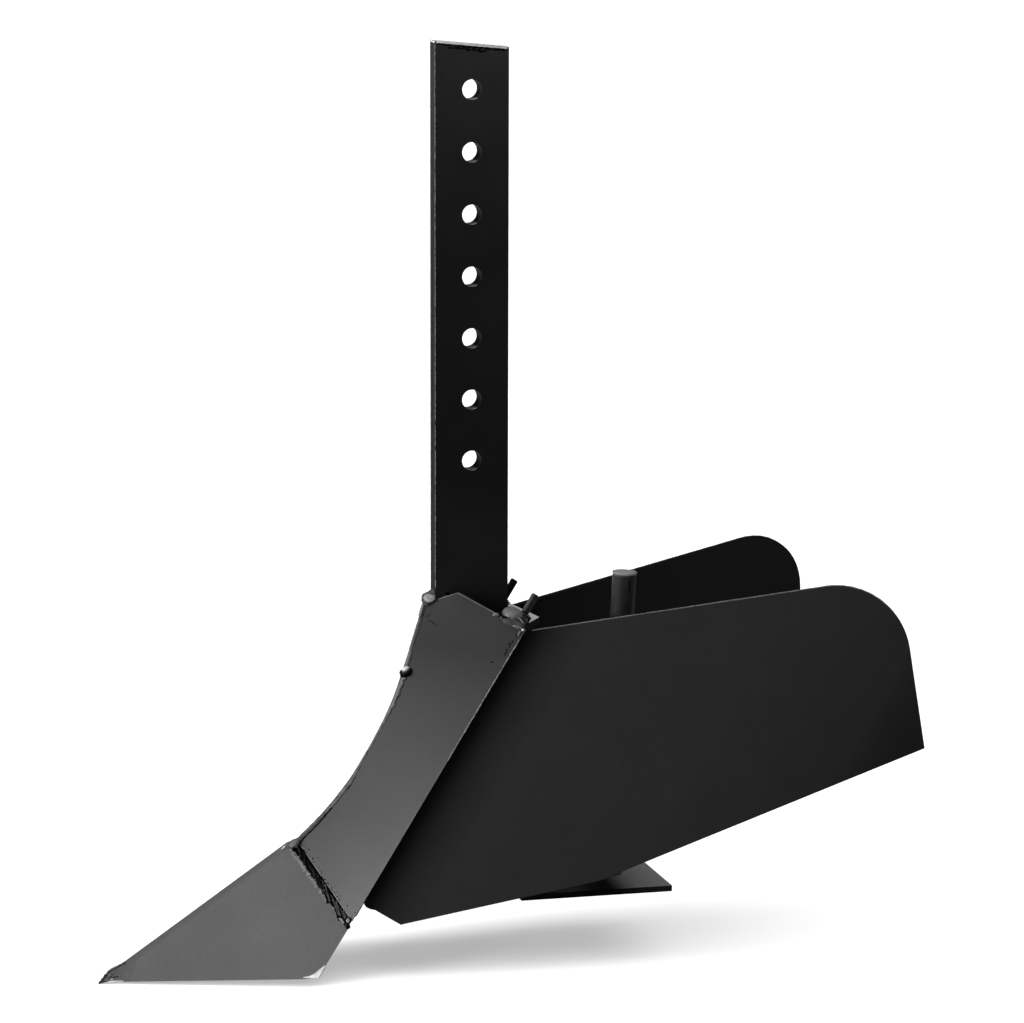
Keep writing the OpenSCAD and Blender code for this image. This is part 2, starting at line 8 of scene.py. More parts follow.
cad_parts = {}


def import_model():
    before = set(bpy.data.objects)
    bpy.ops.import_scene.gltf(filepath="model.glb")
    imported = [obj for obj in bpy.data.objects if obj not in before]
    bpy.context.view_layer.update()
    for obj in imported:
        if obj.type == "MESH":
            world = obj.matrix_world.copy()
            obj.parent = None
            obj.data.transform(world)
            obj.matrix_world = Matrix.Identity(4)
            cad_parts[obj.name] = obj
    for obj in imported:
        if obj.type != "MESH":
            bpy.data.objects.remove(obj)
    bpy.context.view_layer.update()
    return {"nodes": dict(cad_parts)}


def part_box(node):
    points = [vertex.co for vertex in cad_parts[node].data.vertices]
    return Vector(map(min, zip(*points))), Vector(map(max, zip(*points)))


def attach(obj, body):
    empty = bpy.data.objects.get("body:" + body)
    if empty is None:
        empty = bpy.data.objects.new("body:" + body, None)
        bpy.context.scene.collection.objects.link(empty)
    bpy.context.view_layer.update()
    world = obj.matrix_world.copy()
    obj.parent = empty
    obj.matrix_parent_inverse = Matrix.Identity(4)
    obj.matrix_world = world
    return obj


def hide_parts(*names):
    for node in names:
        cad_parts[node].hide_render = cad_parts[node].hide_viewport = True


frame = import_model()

MM = 0.001
NODES = frame["nodes"]

# Sizes that the added pieces share with the solids, in millimetres
LEAN = math.radians(32)
HINGE_BACK, HINGE_DROP, HINGE_HALF = 30.5, 219.5, 24.0
FLANK_HALF, FLANK_T, BEAD_H = 39.0, 4.0, 1.2
EDGE_R, EDGE_TOP, EDGE_OVERHANG = 1.0, -8.0, 25.9
RIDGE_STRAIGHT, RIDGE_SLOPE, RIDGE_RADIUS, RIDGE_END = 52.0, 71.5, 228.7, 40.0
RIDGE_TOP = (32.0, -HINGE_DROP + 6)
PEAK_RISE, PEAK_AT = 13.0, 0.334
WELD_GAP, SHARE_STEP, SHARE_LEN, SHARE_SLOPE = 5.5, 0.8, 130.8, math.radians(33.4)
RIDGE_LEN = RIDGE_STRAIGHT + RIDGE_RADIUS * math.radians(RIDGE_SLOPE - RIDGE_END)
OPENING = math.radians(18.35)
WING_FRONT, WING_SLOPE, WING_TOP, WING_ROUND = 6.2, 39.2, 245.1, 48.0
WING_INNER, WING_OUTER, TOE_INNER, LUG_T, STAY_T = 5.95, 8.85, 6.1, 6.0, 4.0
LUG_US, STAY_US = (16.3, 178.2), {1: 50.3, -1: 54.6}
FROG_U, FROG_T, LOW_PLATE_U, LOW_PLATE_T = 44.0, 6.0, 184.5, 6.0
SHANK_REAR, SHANK_HALF, SHANK_SLANT = -24.5, 6.0, math.radians(5.6)
POST_FOOT, POST_LEAN, POST_R, SLEEVE_R = (-96.0, 0.0, -405.8), math.radians(3), 8.0, 13.08
SCREW_AT, SCREW_BOSS_R = 113.0, 6.9
SIDES, ENDS = {1: "left", -1: "right"}, {1: "top", -1: "low"}


def sind(a):
    return math.sin(math.radians(a))


def cosd(a):
    return math.cos(math.radians(a))


def world(r, y, u):
    """A point of the leaning hinge frame in the row frame, in millimetres."""
    return Vector((-HINGE_BACK - r * math.cos(LEAN) - u * math.sin(LEAN), y,
                   -HINGE_DROP - r * math.sin(LEAN) + u * math.cos(LEAN)))


def ridge_angle(s):
    """The ridge's angle below level, in degrees, s down from its top."""
    if s < RIDGE_STRAIGHT:
        return RIDGE_SLOPE
    return RIDGE_SLOPE - math.degrees((s - RIDGE_STRAIGHT) / RIDGE_RADIUS)


def crest(s):
    """A point of the ridge's line, s down from its top."""
    a, l = ridge_angle(s), min(s, RIDGE_STRAIGHT)
    return Vector((RIDGE_TOP[0] + l * cosd(RIDGE_SLOPE) + RIDGE_RADIUS * (sind(RIDGE_SLOPE) - sind(a)), 0,
                   RIDGE_TOP[1] - l * sind(RIDGE_SLOPE) + RIDGE_RADIUS * (cosd(RIDGE_SLOPE) - cosd(a))))


def apex(s):
    """The point under the crest where the two flanks' outer faces meet."""
    a = ridge_angle(s)
    return crest(s) + BEAD_H * Vector((-sind(a), 0, -cosd(a)))


def hinge_level(p):
    """How far up the leaning hinge axes a point of the row frame lies."""
    return (p[2] + HINGE_DROP) * math.cos(LEAN) - (p[0] + HINGE_BACK) * math.sin(LEAN)


def behind_hinges(p):
    """How far behind the leaning hinge axes a point of the row frame lies."""
    return -(p[0] + HINGE_BACK) * math.cos(LEAN) - (p[2] + HINGE_DROP) * math.sin(LEAN)


EDGE_LOW = hinge_level(crest(RIDGE_LEN)) - EDGE_OVERHANG


def ruling(f, v):
    """A point of the left flank's outer face: f from top to foot, v from ridge to rear edge."""
    return apex(f * RIDGE_LEN).lerp(world(EDGE_R, FLANK_HALF, EDGE_TOP + (EDGE_LOW - EDGE_TOP) * f), v)


def flank_normal(f):
    g = max(0.01, min(0.99, f))
    return (ruling(f, 1) - ruling(f, 0)).cross(ruling(g - 0.01, 0.5) - ruling(g + 0.01, 0.5)).normalized()


def mirrored(p, side):
    """A point of the left side, taken to the side 1, left, or -1, right."""
    return Vector((p[0], p[1] * side, p[2]))


def on_wing(s, y, u, side=1):
    """A point of a wing at rest: s behind the hinge axis along the wing, y towards its outer face, u up."""
    return mirrored(world(s * math.cos(OPENING) - y * math.sin(OPENING),
                          HINGE_HALF + s * math.sin(OPENING) + y * math.cos(OPENING), u), side)


# The share's ridge, its rear edge and its face; then the points of its sharp corner and of a bright streak
SHARE_DIR = Vector((math.cos(SHARE_SLOPE), 0, -math.sin(SHARE_SLOPE)))
SHARE_BACK = Vector((-math.sin(SHARE_SLOPE), 0, -math.cos(SHARE_SLOPE)))
SHARE_TOP = crest(RIDGE_LEN) + WELD_GAP * SHARE_DIR + Vector((0, 0, SHARE_STEP)) + BEAD_H * SHARE_BACK
SHARE_REAR = world(EDGE_R, FLANK_HALF, EDGE_LOW - WELD_GAP)
SHARE_SKIN = (SHARE_REAR - SHARE_TOP).cross(-SHARE_DIR).normalized()
CORNER_OUTER = [(123.8, 43.5, -447.1), (119.6, 45.1, -447.0), (114.3, 46.9, -446.9), (111.9, 46.0, -443.6),
                (109.4, 45.0, -440.2)]
CORNER_INNER = [(123.8, 43.3, -446.7), (120.0, 44.3, -446.0), (116.7, 44.7, -444.6), (113.7, 44.6, -442.4),
                (109.9, 44.5, -439.7)]
STREAK = ((127.4, 0.4, -372.7), (126.0, 0.5, -371.5), (124.6, 0.4, -370.4))

# Camera and floor: directions and metres, solved from the photograph's straight edges and holes
CAMERA_AT = (0.702668, 2.469611, 0.346732)
CAMERA_RIGHT, CAMERA_UP = (-0.958948, 0.283569, 0.002684), (-0.051827, -0.184553, 0.981455)
CAMERA_BACK = (0.278806, 0.941025, 0.191674)
SENSOR, LENS, CLIP = 36, 141.29, (0.1, 100)
FLOOR_Z, FLOOR_HALF, FLOOR_GREY, FLOOR_GLOW = -0.4535, 40, 0.5, 0.4
SKY = 0.25

# Rows of the forged point from the share to its nose: top and bottom of its left side
TIP_ROWS = [((225.0, 0.2, -435.8), (226.0, 7.55, -450.5)), ((231.3, 0.4, -439.75), (232.0, 5.7, -451.0)),
            ((236.0, 0.9, -442.0), (237.4, 3.9, -451.0)), ((239.0, 1.1, -443.2), (240.5, 3.1, -451.1)),
            ((241.8, 1.2, -444.5), (242.4, 2.6, -451.3)), ((244.6, 1.2, -447.6), (244.8, 2.0, -451.8)),
            ((247.2, 0.9, -450.7), (247.2, 1.3, -452.5)), ((249.5, 0.3, -453.3), (249.6, 0.35, -453.5))]


# Materials; a grey is linear, and a place in a fade is in metres

def node_tree(name):
    mat = bpy.data.materials.new(name)
    mat.use_nodes = True
    tree = mat.node_tree
    return mat, tree, tree.nodes["Principled BSDF"]


def add(tree, kind, **sockets):
    n = tree.nodes.new(kind)
    for key, value in sockets.items():
        n.inputs[key.replace("_", " ")].default_value = value
    return n


def ramp(tree, fac, stops):
    """Greys at places from 0 to 1."""
    n = tree.nodes.new("ShaderNodeValToRGB")
    tree.links.new(fac, n.inputs["Fac"])
    els = n.color_ramp.elements
    while len(els) < len(stops):
        els.new(0.5)
    for e, (pos, grey) in zip(els, stops):
        e.position = pos
        e.color = (grey, grey, grey * 1.01, 1)
    return n.outputs["Color"]


def multiply(tree, a, b):
    n = tree.nodes.new("ShaderNodeMix")
    n.data_type = "RGBA"
    n.blend_type = "MULTIPLY"
    n.inputs["Factor"].default_value = 1
    tree.links.new(a, n.inputs["A"])
    tree.links.new(b, n.inputs["B"])
    return n.outputs["Result"]


def part_of(tree, source, direction, low, high):
    """0 to 1 from low to high of a vector's share along a direction of the row frame."""
    dot = tree.nodes.new("ShaderNodeVectorMath")
    dot.operation = "DOT_PRODUCT"
    dot.inputs[1].default_value = direction
    tree.links.new(source, dot.inputs[0])
    fit = tree.nodes.new("ShaderNodeMapRange")
    fit.inputs["From Min"].default_value = low
    fit.inputs["From Max"].default_value = high
    tree.links.new(dot.outputs["Value"], fit.inputs["Value"])
    return fit.outputs["Result"]


def metal(name, grey, rough, specular=0.5, metallic=0.0, mottle=0.12, scale=34, grain=700, bump=0.04,
          fades=(), facing=(), ior=1.5):
    """A painted or bare metal surface: mottled, with a fine grain and uneven gloss.
    A fade shades it along a direction, from one place in metres to another.
    Facing shades it by the direction that it looks in."""
    mat, tree, bsdf = node_tree(name)
    co = tree.nodes.new("ShaderNodeTexCoord")
    big = add(tree, "ShaderNodeTexNoise", Scale=float(scale), Detail=4.0, Roughness=0.6)
    fine = add(tree, "ShaderNodeTexNoise", Scale=float(grain), Detail=3.0, Roughness=0.6)
    for n in (big, fine):
        tree.links.new(co.outputs["Object"], n.inputs["Vector"])
    colour = ramp(tree, big.outputs["Fac"], [(0.3, grey * (1 - mottle)), (0.7, grey * (1 + mottle))])
    speck = ramp(tree, fine.outputs["Fac"], [(0.35, 0.88), (0.65, 1.0)])
    colour = multiply(tree, colour, speck)
    for direction, low, high, stops in fades:
        colour = multiply(tree, colour, ramp(tree, part_of(tree, co.outputs["Object"], direction, low, high),
                                             stops))
    look = tree.nodes.new("ShaderNodeNewGeometry")
    for direction, stops in facing:
        colour = multiply(tree, colour, ramp(tree, part_of(tree, look.outputs["Normal"], direction, -1, 1),
                                             stops))
    tree.links.new(colour, bsdf.inputs["Base Color"])
    gloss = add(tree, "ShaderNodeMapRange")
    gloss.inputs["To Min"].default_value = rough * 0.85
    gloss.inputs["To Max"].default_value = min(1, rough * 1.15)
    tree.links.new(big.outputs["Fac"], gloss.inputs["Value"])
    tree.links.new(gloss.outputs["Result"], bsdf.inputs["Roughness"])
    hills = add(tree, "ShaderNodeBump", Strength=bump, Distance=0.0006)
    tree.links.new(fine.outputs["Fac"], hills.inputs["Height"])
    tree.links.new(hills.outputs["Normal"], bsdf.inputs["Normal"])
    bsdf.inputs["Specular IOR Level"].default_value = specular
    bsdf.inputs["Metallic"].default_value = metallic
    bsdf.inputs["IOR"].default_value = ior
    return mat


BACK = (-math.cos(LEAN), 0, -math.sin(LEAN))
UP, FRONT, NEAR, DOWN = (0, 0, 1), (1, 0, 0), (0, 1, 0), (0, 0, -1)
# Facing stops that keep the grey of faces looking up and turn side faces nearly black: painted shade.
LIT_TOPS = [(0.6, 0.03), (0.88, 1)]
# The fade down the flank darkens its upper part: painted shade where the plate turns away from the light.
FLANK = metal("flank_paint", 0.059, 0.5, 0.2, mottle=0.05, bump=0.02, ior=1.2,
              fades=[(DOWN, 0.2, 0.41, [(0.11, 0.23), (0.19, 0.197), (0.32, 0.268), (0.46, 0.338),
                                        (0.59, 0.44), (0.72, 0.54), (0.84, 0.69), (0.9, 0.8), (1, 0.96)])])
SHARE = metal("share_paint", 0.053, 0.5, 0.2, mottle=0.07, scale=22, bump=0.02, ior=1.2,
              fades=[(FRONT, 0.2, 0.262, [(0, 1), (0.5, 0.97), (0.8, 0.8), (1, 0.6)])])
# A wing's fade darkens it next to the flank's rear edge and towards its rear: a painted shadow of the flank
# and painted shade. Facing darkens its top edge face and its inner face: painted shade.
WINGS = {side: metal(f"{name}_wing_paint", 0.0099, 0.5, 0.12, mottle=0.05, bump=0.02, ior=1.15,
                     fades=[(BACK, 0.143, 0.383, [(0.01, 0.15), (0.04, 0.3), (0.072, 0.6), (0.111, 0.81),
                                                  (0.163, 1), (0.3, 0.93), (0.55, 0.85), (0.66, 0.77),
                                                  (0.78, 0.68), (0.88, 0.62), (0.93, 0.45), (1, 0.35)])],
                     facing=[(UP, [(0.85, 1), (0.95, 0.25)]), ((0, side, 0), [(0.3, 0.72), (0.6, 1)])])
         for side, name in SIDES.items()}
SHANK = metal("shank_paint", 0.0072, 0.5, 0.05, mottle=0.1, bump=0.03, ior=1.15,
              fades=[(UP, -0.21, 0.15, [(0, 0.75), (0.1, 0.7), (0.22, 0.5), (0.6, 0.65), (0.8, 0.95),
                                        (1, 1.7)])], facing=[(UP, [(0.9, 1), (0.97, 28)])])
# Facing lightens the side of the post that looks forwards: a painted highlight.
POST = metal("post_paint", 0.0092, 0.4, 0.2, mottle=0.4, scale=90, ior=1.12,
             facing=[(UP, [(0.85, 1), (0.97, 14)]), (FRONT, [(0.7, 1), (0.9, 1.7)])])
POST_END = metal("post_end", 0.11, 0.5, 0.2, mottle=0.2, scale=120, ior=1.2)
# Facing turns the sole's sides nearly black, and the fade darkens a band across its top: painted shade and a
# painted shadow of the wing and the post.
SOLE = metal("sole_paint", 0.19, 0.5, 0.1, ior=1.15, mottle=0.08, facing=[(UP, LIT_TOPS)],
             fades=[(FRONT, -0.123, -0.055, [(0, 1), (0.25, 0.78), (0.36, 0.5), (0.45, 0.2), (0.52, 0.04),
                                             (0.72, 0.03), (0.82, 0.12), (0.95, 0.22)])])
TIP = metal("tip_metal", 0.053, 0.5, 0.2, mottle=0.12, scale=260, grain=900, bump=0.1, ior=1.2,
            fades=[(FRONT, 0.232, 0.25, [(0, 1), (0.5, 0.95), (0.75, 0.65), (1, 0.4)])])
# Facing turns the cap's sides nearly black: painted shade.
CAP = metal("cap_paint", 0.26, 0.5, 0.1, mottle=0.1, ior=1.1, facing=[(UP, LIT_TOPS)])
# A light grey for bare metal; on the share's corner it is a painted highlight.
BRIGHT = metal("bright_edge", 0.28, 0.4, 0.4, mottle=0.4, scale=120, grain=420, bump=0.1)
# Lighter edge and weld grey: wear, and a painted highlight on the flank's rounded edges.
WEAR_AND_SHEEN = metal("wear_and_sheen", 0.075, 0.45, 0.3, mottle=0.35, grain=420)
SHARE_LIP = metal("share_lip", 0.055, 0.45, 0.25, mottle=0.2, scale=200, bump=0.1)
DARK_EDGE = metal("dark_edge", 0.016, 0.4, 0.15, mottle=0.4, grain=420)
# A wing's top edge line: a painted highlight.
WING_LINE = metal("wing_line", 0.045, 0.4, 0.2, mottle=0.3, scale=60)
BEAD = metal("bead_metal", 0.045, 0.42, 0.3, mottle=0.5, scale=160, grain=900, bump=0.25)
# Facing darkens the bead's faces that do not look to the left side, and the fade darkens its upper part:
# painted shade.
RIDGE = metal("ridge_bead", 0.035, 0.45, 0.15, mottle=0.55, scale=240, grain=900, bump=0.2,
              facing=[(NEAR, [(0.5, 0.25), (0.62, 0.25), (0.8, 1)])],
              fades=[(DOWN, 0.21, 0.37, [(0, 0.5), (0.6, 0.9), (1, 1.1)])])
DOME = metal("dome_metal", 0.055, 0.45, 0.2, mottle=0.1, grain=900, bump=0.04)
# Near-black burnt weld metal; the same grey also lays painted shade: the shade lines on the flank's rim and
# under the shank's saw edge, and the nugget's lower half.
SOOT_AND_SHADE = metal("burnt_metal_and_shade", 0.0012, 0.6, 0.05, mottle=0.6, grain=900, bump=0.4, ior=1.15)
# Dark weld metal; the cap weld's shade line drawn in it is painted shade.
CINDER_AND_SHADE = metal("cinder_and_shade", 0.0125, 0.5, 0.12, mottle=0.6, scale=200, grain=900, bump=0.3, ior=1.2)
STRAND = metal("strand_metal", 0.028, 0.5, 0.15, mottle=0.6, scale=300, grain=900, bump=0.3, ior=1.3)
FILL = metal("fill_metal", 0.026, 0.45, 0.2, mottle=0.2, scale=160, grain=900, bump=0.1, ior=1.2)
# Facing leaves the nugget bright only where it looks up and forwards and nearly black elsewhere: a painted
# highlight and painted shade.
NUGGET = metal("nugget_metal", 0.24, 0.3, 0.08, mottle=0.2, ior=1.2,
               facing=[((0.45, 0.1, 0.88), [(0.6, 0.003), (0.78, 0.1), (0.9, 1)])])
STEEL = metal("plain_steel", 0.25, 0.38, 0.5, metallic=1.0, mottle=0.12, grain=1200, bump=0.08)
# Facing lightens the pin's forward side and darkens its back: a painted highlight and painted shade.
PIN = metal("pin_steel", 0.011, 0.4, 0.3, mottle=0.2, grain=1000, bump=0.08, ior=1.2,
            facing=[(FRONT, [(0.55, 0.35), (0.8, 1), (0.97, 3.2)])])
# The right pin's near-black grey is painted shade: a darker copy of the pin's steel.
SHADED_PIN = metal("shaded_pin_steel", 0.0012, 0.5, 0.1, mottle=0.2, ior=1.1)
INSIDE = metal("inside_paint", 0.0075, 0.55, 0.12, mottle=0.2, ior=1.25)


def new_object(name, data):
    o = bpy.data.objects.new(name, data)
    bpy.context.scene.collection.objects.link(o)
    return o


def bevel(o, width, angle, index):
    """Rounds the edges that are sharper than an angle, in the material of that index."""
    b = o.modifiers.new("edges", "BEVEL")
    b.width = width * MM
    b.segments = 2
    b.limit_method = "ANGLE"
    b.angle_limit = math.radians(angle)
    b.material = index
    b.harden_normals = True


def dress(names, mat, width, edge=None):
    """Gives CAD nodes a material, and rounded edges with a material of their own."""
    for name in names:
        o = NODES[name]
        o.data.materials.clear()
        o.data.materials.append(mat)
        o.data.materials.append(edge or mat)
        if width:
            bevel(o, width, 35, 1 if edge else -1)


def place(name, mesh, mat, body="frame", smooth=True):
    """Puts a mesh in the scene, in one material and on the body that it rides."""
    mesh.materials.append(mat)
    for p in mesh.polygons:
        p.use_smooth = smooth
    o = new_object(name, mesh)
    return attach(o, body)


def make(name, verts, faces, mat, body="frame", smooth=True):
    """A closed piece from points in millimetres, its faces turned outwards."""
    mesh = bpy.data.meshes.new(name)
    mesh.from_pydata([Vector(v) * MM for v in verts], [], faces)
    mesh.update()
    bm = bmesh.new()
    bm.from_mesh(mesh)
    bmesh.ops.recalc_face_normals(bm, faces=bm.faces)
    bm.to_mesh(mesh)
    bm.free()
    return place(name, mesh, mat, body, smooth)


def sheet_mesh(outer, inner):
    """Vertices and faces of the closed plate between two grids of points."""
    n, m = len(outer), len(outer[0])
    verts = [p for row in outer for p in row] + [p for row in inner for p in row]

    def o(i, j):
        return i * m + j

    def q(i, j):
        return n * m + i * m + j

    faces = []
    for i in range(n - 1):
        for j in range(m - 1):
            faces.append((o(i, j), o(i, j + 1), o(i + 1, j + 1), o(i + 1, j)))
            faces.append((q(i, j), q(i + 1, j), q(i + 1, j + 1), q(i, j + 1)))
        faces.append((o(i, 0), o(i + 1, 0), q(i + 1, 0), q(i, 0)))
        faces.append((o(i + 1, m - 1), o(i, m - 1), q(i, m - 1), q(i + 1, m - 1)))
    for j in range(m - 1):
        faces.append((o(0, j + 1), o(0, j), q(0, j), q(0, j + 1)))
        faces.append((o(n - 1, j), o(n - 1, j + 1), q(n - 1, j + 1), q(n - 1, j)))
    return verts, faces


def flank(side):
    """The hollow flank plate, finely divided, with rounded edges in a lighter grey: wear and a painted
    highlight.
    """
    rows, cols = 60, 12
    name = SIDES[side]

    def lift(f, v):
        """The rise of the top edge's peak, faded out down the plate."""
        if f > 1 / 18:
            return 0
        up = v / PEAK_AT if v < PEAK_AT else (1 - v) / (1 - PEAK_AT)
        return PEAK_RISE * up * (1 - f * 18)

    def row(i, depth):
        f = i / rows if i > 4 else i / rows * 0.8
        d = -depth * flank_normal(f)
        a, b = ruling(f, 0) + d, ruling(f, 1) + d
        if depth:
            a = a + (b - a) * ((0.05 - a.y) / (b.y - a.y))
            b = a + (b - a) * ((EDGE_R - behind_hinges(a)) / (behind_hinges(b) - behind_hinges(a)))
        out = []
        for j in range(cols + 1):
            v = j / cols
            p = a.lerp(b, v)
            p.z += lift(f, v)
            out.append(mirrored(p, side))
        return out

    verts, faces = sheet_mesh([row(i, 0) for i in range(rows + 1)],
                              [row(i, FLANK_T) for i in range(rows + 1)])
    o = make(f"{name}_flank_plate", verts, faces, FLANK)
    # The bevel's faces take the lighter edge grey: wear and a painted highlight.
    o.data.materials.append(WEAR_AND_SHEEN)
    bevel(o, 0.4, 50, 1)
    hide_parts(f"{name}_flank")


def wobble(x, seed, scale=1.0):
    """Smooth noise along a line, from -1 to 1."""
    return noise.noise(Vector((x * scale, seed * 7.31, seed * 3.17)))


def resample(path, step):
    """Points at even steps along a path."""
    pts = [Vector(p) for p in path]
    marks = [0.0]
    for a, b in zip(pts, pts[1:]):
        marks.append(marks[-1] + (b - a).length)
    count = max(6, int(marks[-1] / step))
    out, k = [], 0
    for i in range(count + 1):
        d = marks[-1] * i / count
        while k < len(pts) - 2 and d > marks[k + 1]:
            k += 1
        out.append(pts[k].lerp(pts[k + 1], (d - marks[k]) / max(1e-6, marks[k + 1] - marks[k])))
    return out


def bead(name, path, normal, width, height, mat, body="frame", seed=1, rough=0.35, ripple=0.14, pitch=2.3,
         step=0.55, sink=0.3):
    """A weld bead along a path of points in millimetres: lumpy, rippled and uneven at its edges."""
    pts = resample(path, step)
    n, around = len(pts), 8
    outer, inner = [], []
    for i, p in enumerate(pts):
        t = (pts[min(i + 1, n - 1)] - pts[max(i - 1, 0)]).normalized()
        up = normal(p) if callable(normal) else Vector(normal)
        up = (up - t * up.dot(t)).normalized()
        side = t.cross(up)
        d = i * step
        taper = min(1, (i + 0.3) / 3, (n - i - 0.7) / 3) ** 0.5
        row, low = [], []
        for k in range(around + 1):
            x, h = -math.cos(math.pi * k / around), math.sin(math.pi * k / around)
            w = width / 2 * taper * (1 + rough * wobble(d, seed + (11 if x > 0 else 0), 0.7)
                                     + rough * wobble(d, seed + (31 if x > 0 else 23), 2.2))
            lift = height * taper * (1 + rough * wobble(d, seed + 5, 0.8))
            lift *= 1 + ripple * math.sin(2 * math.pi * (d - abs(x) * width * 0.3) / pitch)
            row.append(p + side * x * w + up * (lift * h - sink))
            low.append(p + side * x * w * 0.9 - up * (sink + 0.3))
        outer.append(row)
        inner.append(low)
    verts, faces = sheet_mesh(outer, inner)
    return make(name, verts, faces, mat, body)


def blob(name, centre, radii, aim, mat, body="frame", seed=1, rough=0.18, detail=4):
    """A lump of weld metal, flattened along aim."""
    bm = bmesh.new()
    bmesh.ops.create_icosphere(bm, subdivisions=detail, radius=1)
    turn = Vector(aim).to_track_quat("Z", "Y").to_matrix()
    for v in bm.verts:
        k = 1 + rough * noise.noise(v.co * 1.7 + Vector((seed, seed, seed)))
        k += rough * 0.4 * noise.noise(v.co * 4.5 + Vector((seed, 0, 0)))
        v.co = (Vector(centre) + turn @ Vector([c * r * k for c, r in zip(v.co, radii)])) * MM
    mesh = bpy.data.meshes.new(name)
    bm.to_mesh(mesh)
    bm.free()
    return place(name, mesh, mat, body)


def nose_spread(d):
    """Width of the nose's bead down the ridge: ground nearly flush in its middle."""
    marks = ((0, 0.5), (30, 0.55), (50, 0.9), (70, 0.85), (84, 0.45), (108, 0.38), (128, 0.85), (150, 0.7),
             (168, 0.45), (400, 0.36))
    for (a, x), (b, y) in zip(marks, marks[1:]):
        if d < b:
            return x + (y - x) * (d - a) / (b - a)
    return marks[-1][1]


def nose_bead():
    """The bead over the joint of the two flanks, and the dark uneven seams at its toes."""
    rows, cols, seam_rows = 330, 10, 420
    grids = ([], [])
    for i in range(rows + 1):
        f = i / rows
        d = f * RIDGE_LEN
        inward = (apex(d) - crest(d)).normalized()
        bulge = nose_spread(d) * (0.5 + 0.25 * wobble(d, 3, 0.5) + 0.12 * math.sin(2 * math.pi * d / 2.6))
        bulge += 1.7 * max(0, 1 - d / 46) ** 1.3
        ends = []
        for side in (-1, 1):
            w = 2.9 * nose_spread(d) * (1 + 0.3 * wobble(d, 40 + side, 0.35) + 0.2 * wobble(d, 50 + side,
                                                                                            1.6))
            ends.append(mirrored(ruling(f, w / FLANK_HALF), side) - 0.15 * inward)
        top = crest(d) - bulge * inward
        for grid, depth in zip(grids, (0, 0.7)):
            grid.append([ends[0] * (1 - t) ** 2 + top * 2 * t * (1 - t) + ends[1] * t * t + inward * depth
                         for t in (k / cols for k in range(cols + 1))])
    verts, faces = sheet_mesh(*grids)
    o = make("nose_bead", verts, faces, RIDGE)
    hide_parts("nose_weld")
    for side in (1, -1):
        outer, inner = [], []
        for i in range(seam_rows + 1):
            f = i / seam_rows
            d = f * RIDGE_LEN
            n = flank_normal(f)
            a = 2.5 * nose_spread(d) * (1 + 0.3 * wobble(d, 40 + side, 0.35) + 0.2 * wobble(d, 50 + side,
                                                                                            1.6))
            wide = 0.45 + 0.9 * abs(wobble(d, 70 + side, 0.9)) + 0.6 * max(0, wobble(d, 80 + side, 0.25))
            wide *= max(0.12, (nose_spread(d) - 0.35) / 0.65) * (1 + 0.8 * max(0, f - 0.8) / 0.2)
            row = [mirrored(ruling(f, x / FLANK_HALF) + n * h, side)
                   for x, h in ((a, 0.05), (a + wide * 0.5, 0.22), (a + wide, 0.02))]
            outer.append(row)
            inner.append([p - mirrored(n, side) * 0.5 for p in row])
        verts, faces = sheet_mesh(outer, inner)
        make(f"nose_seam_{SIDES[side]}", verts, faces, SOOT_AND_SHADE)


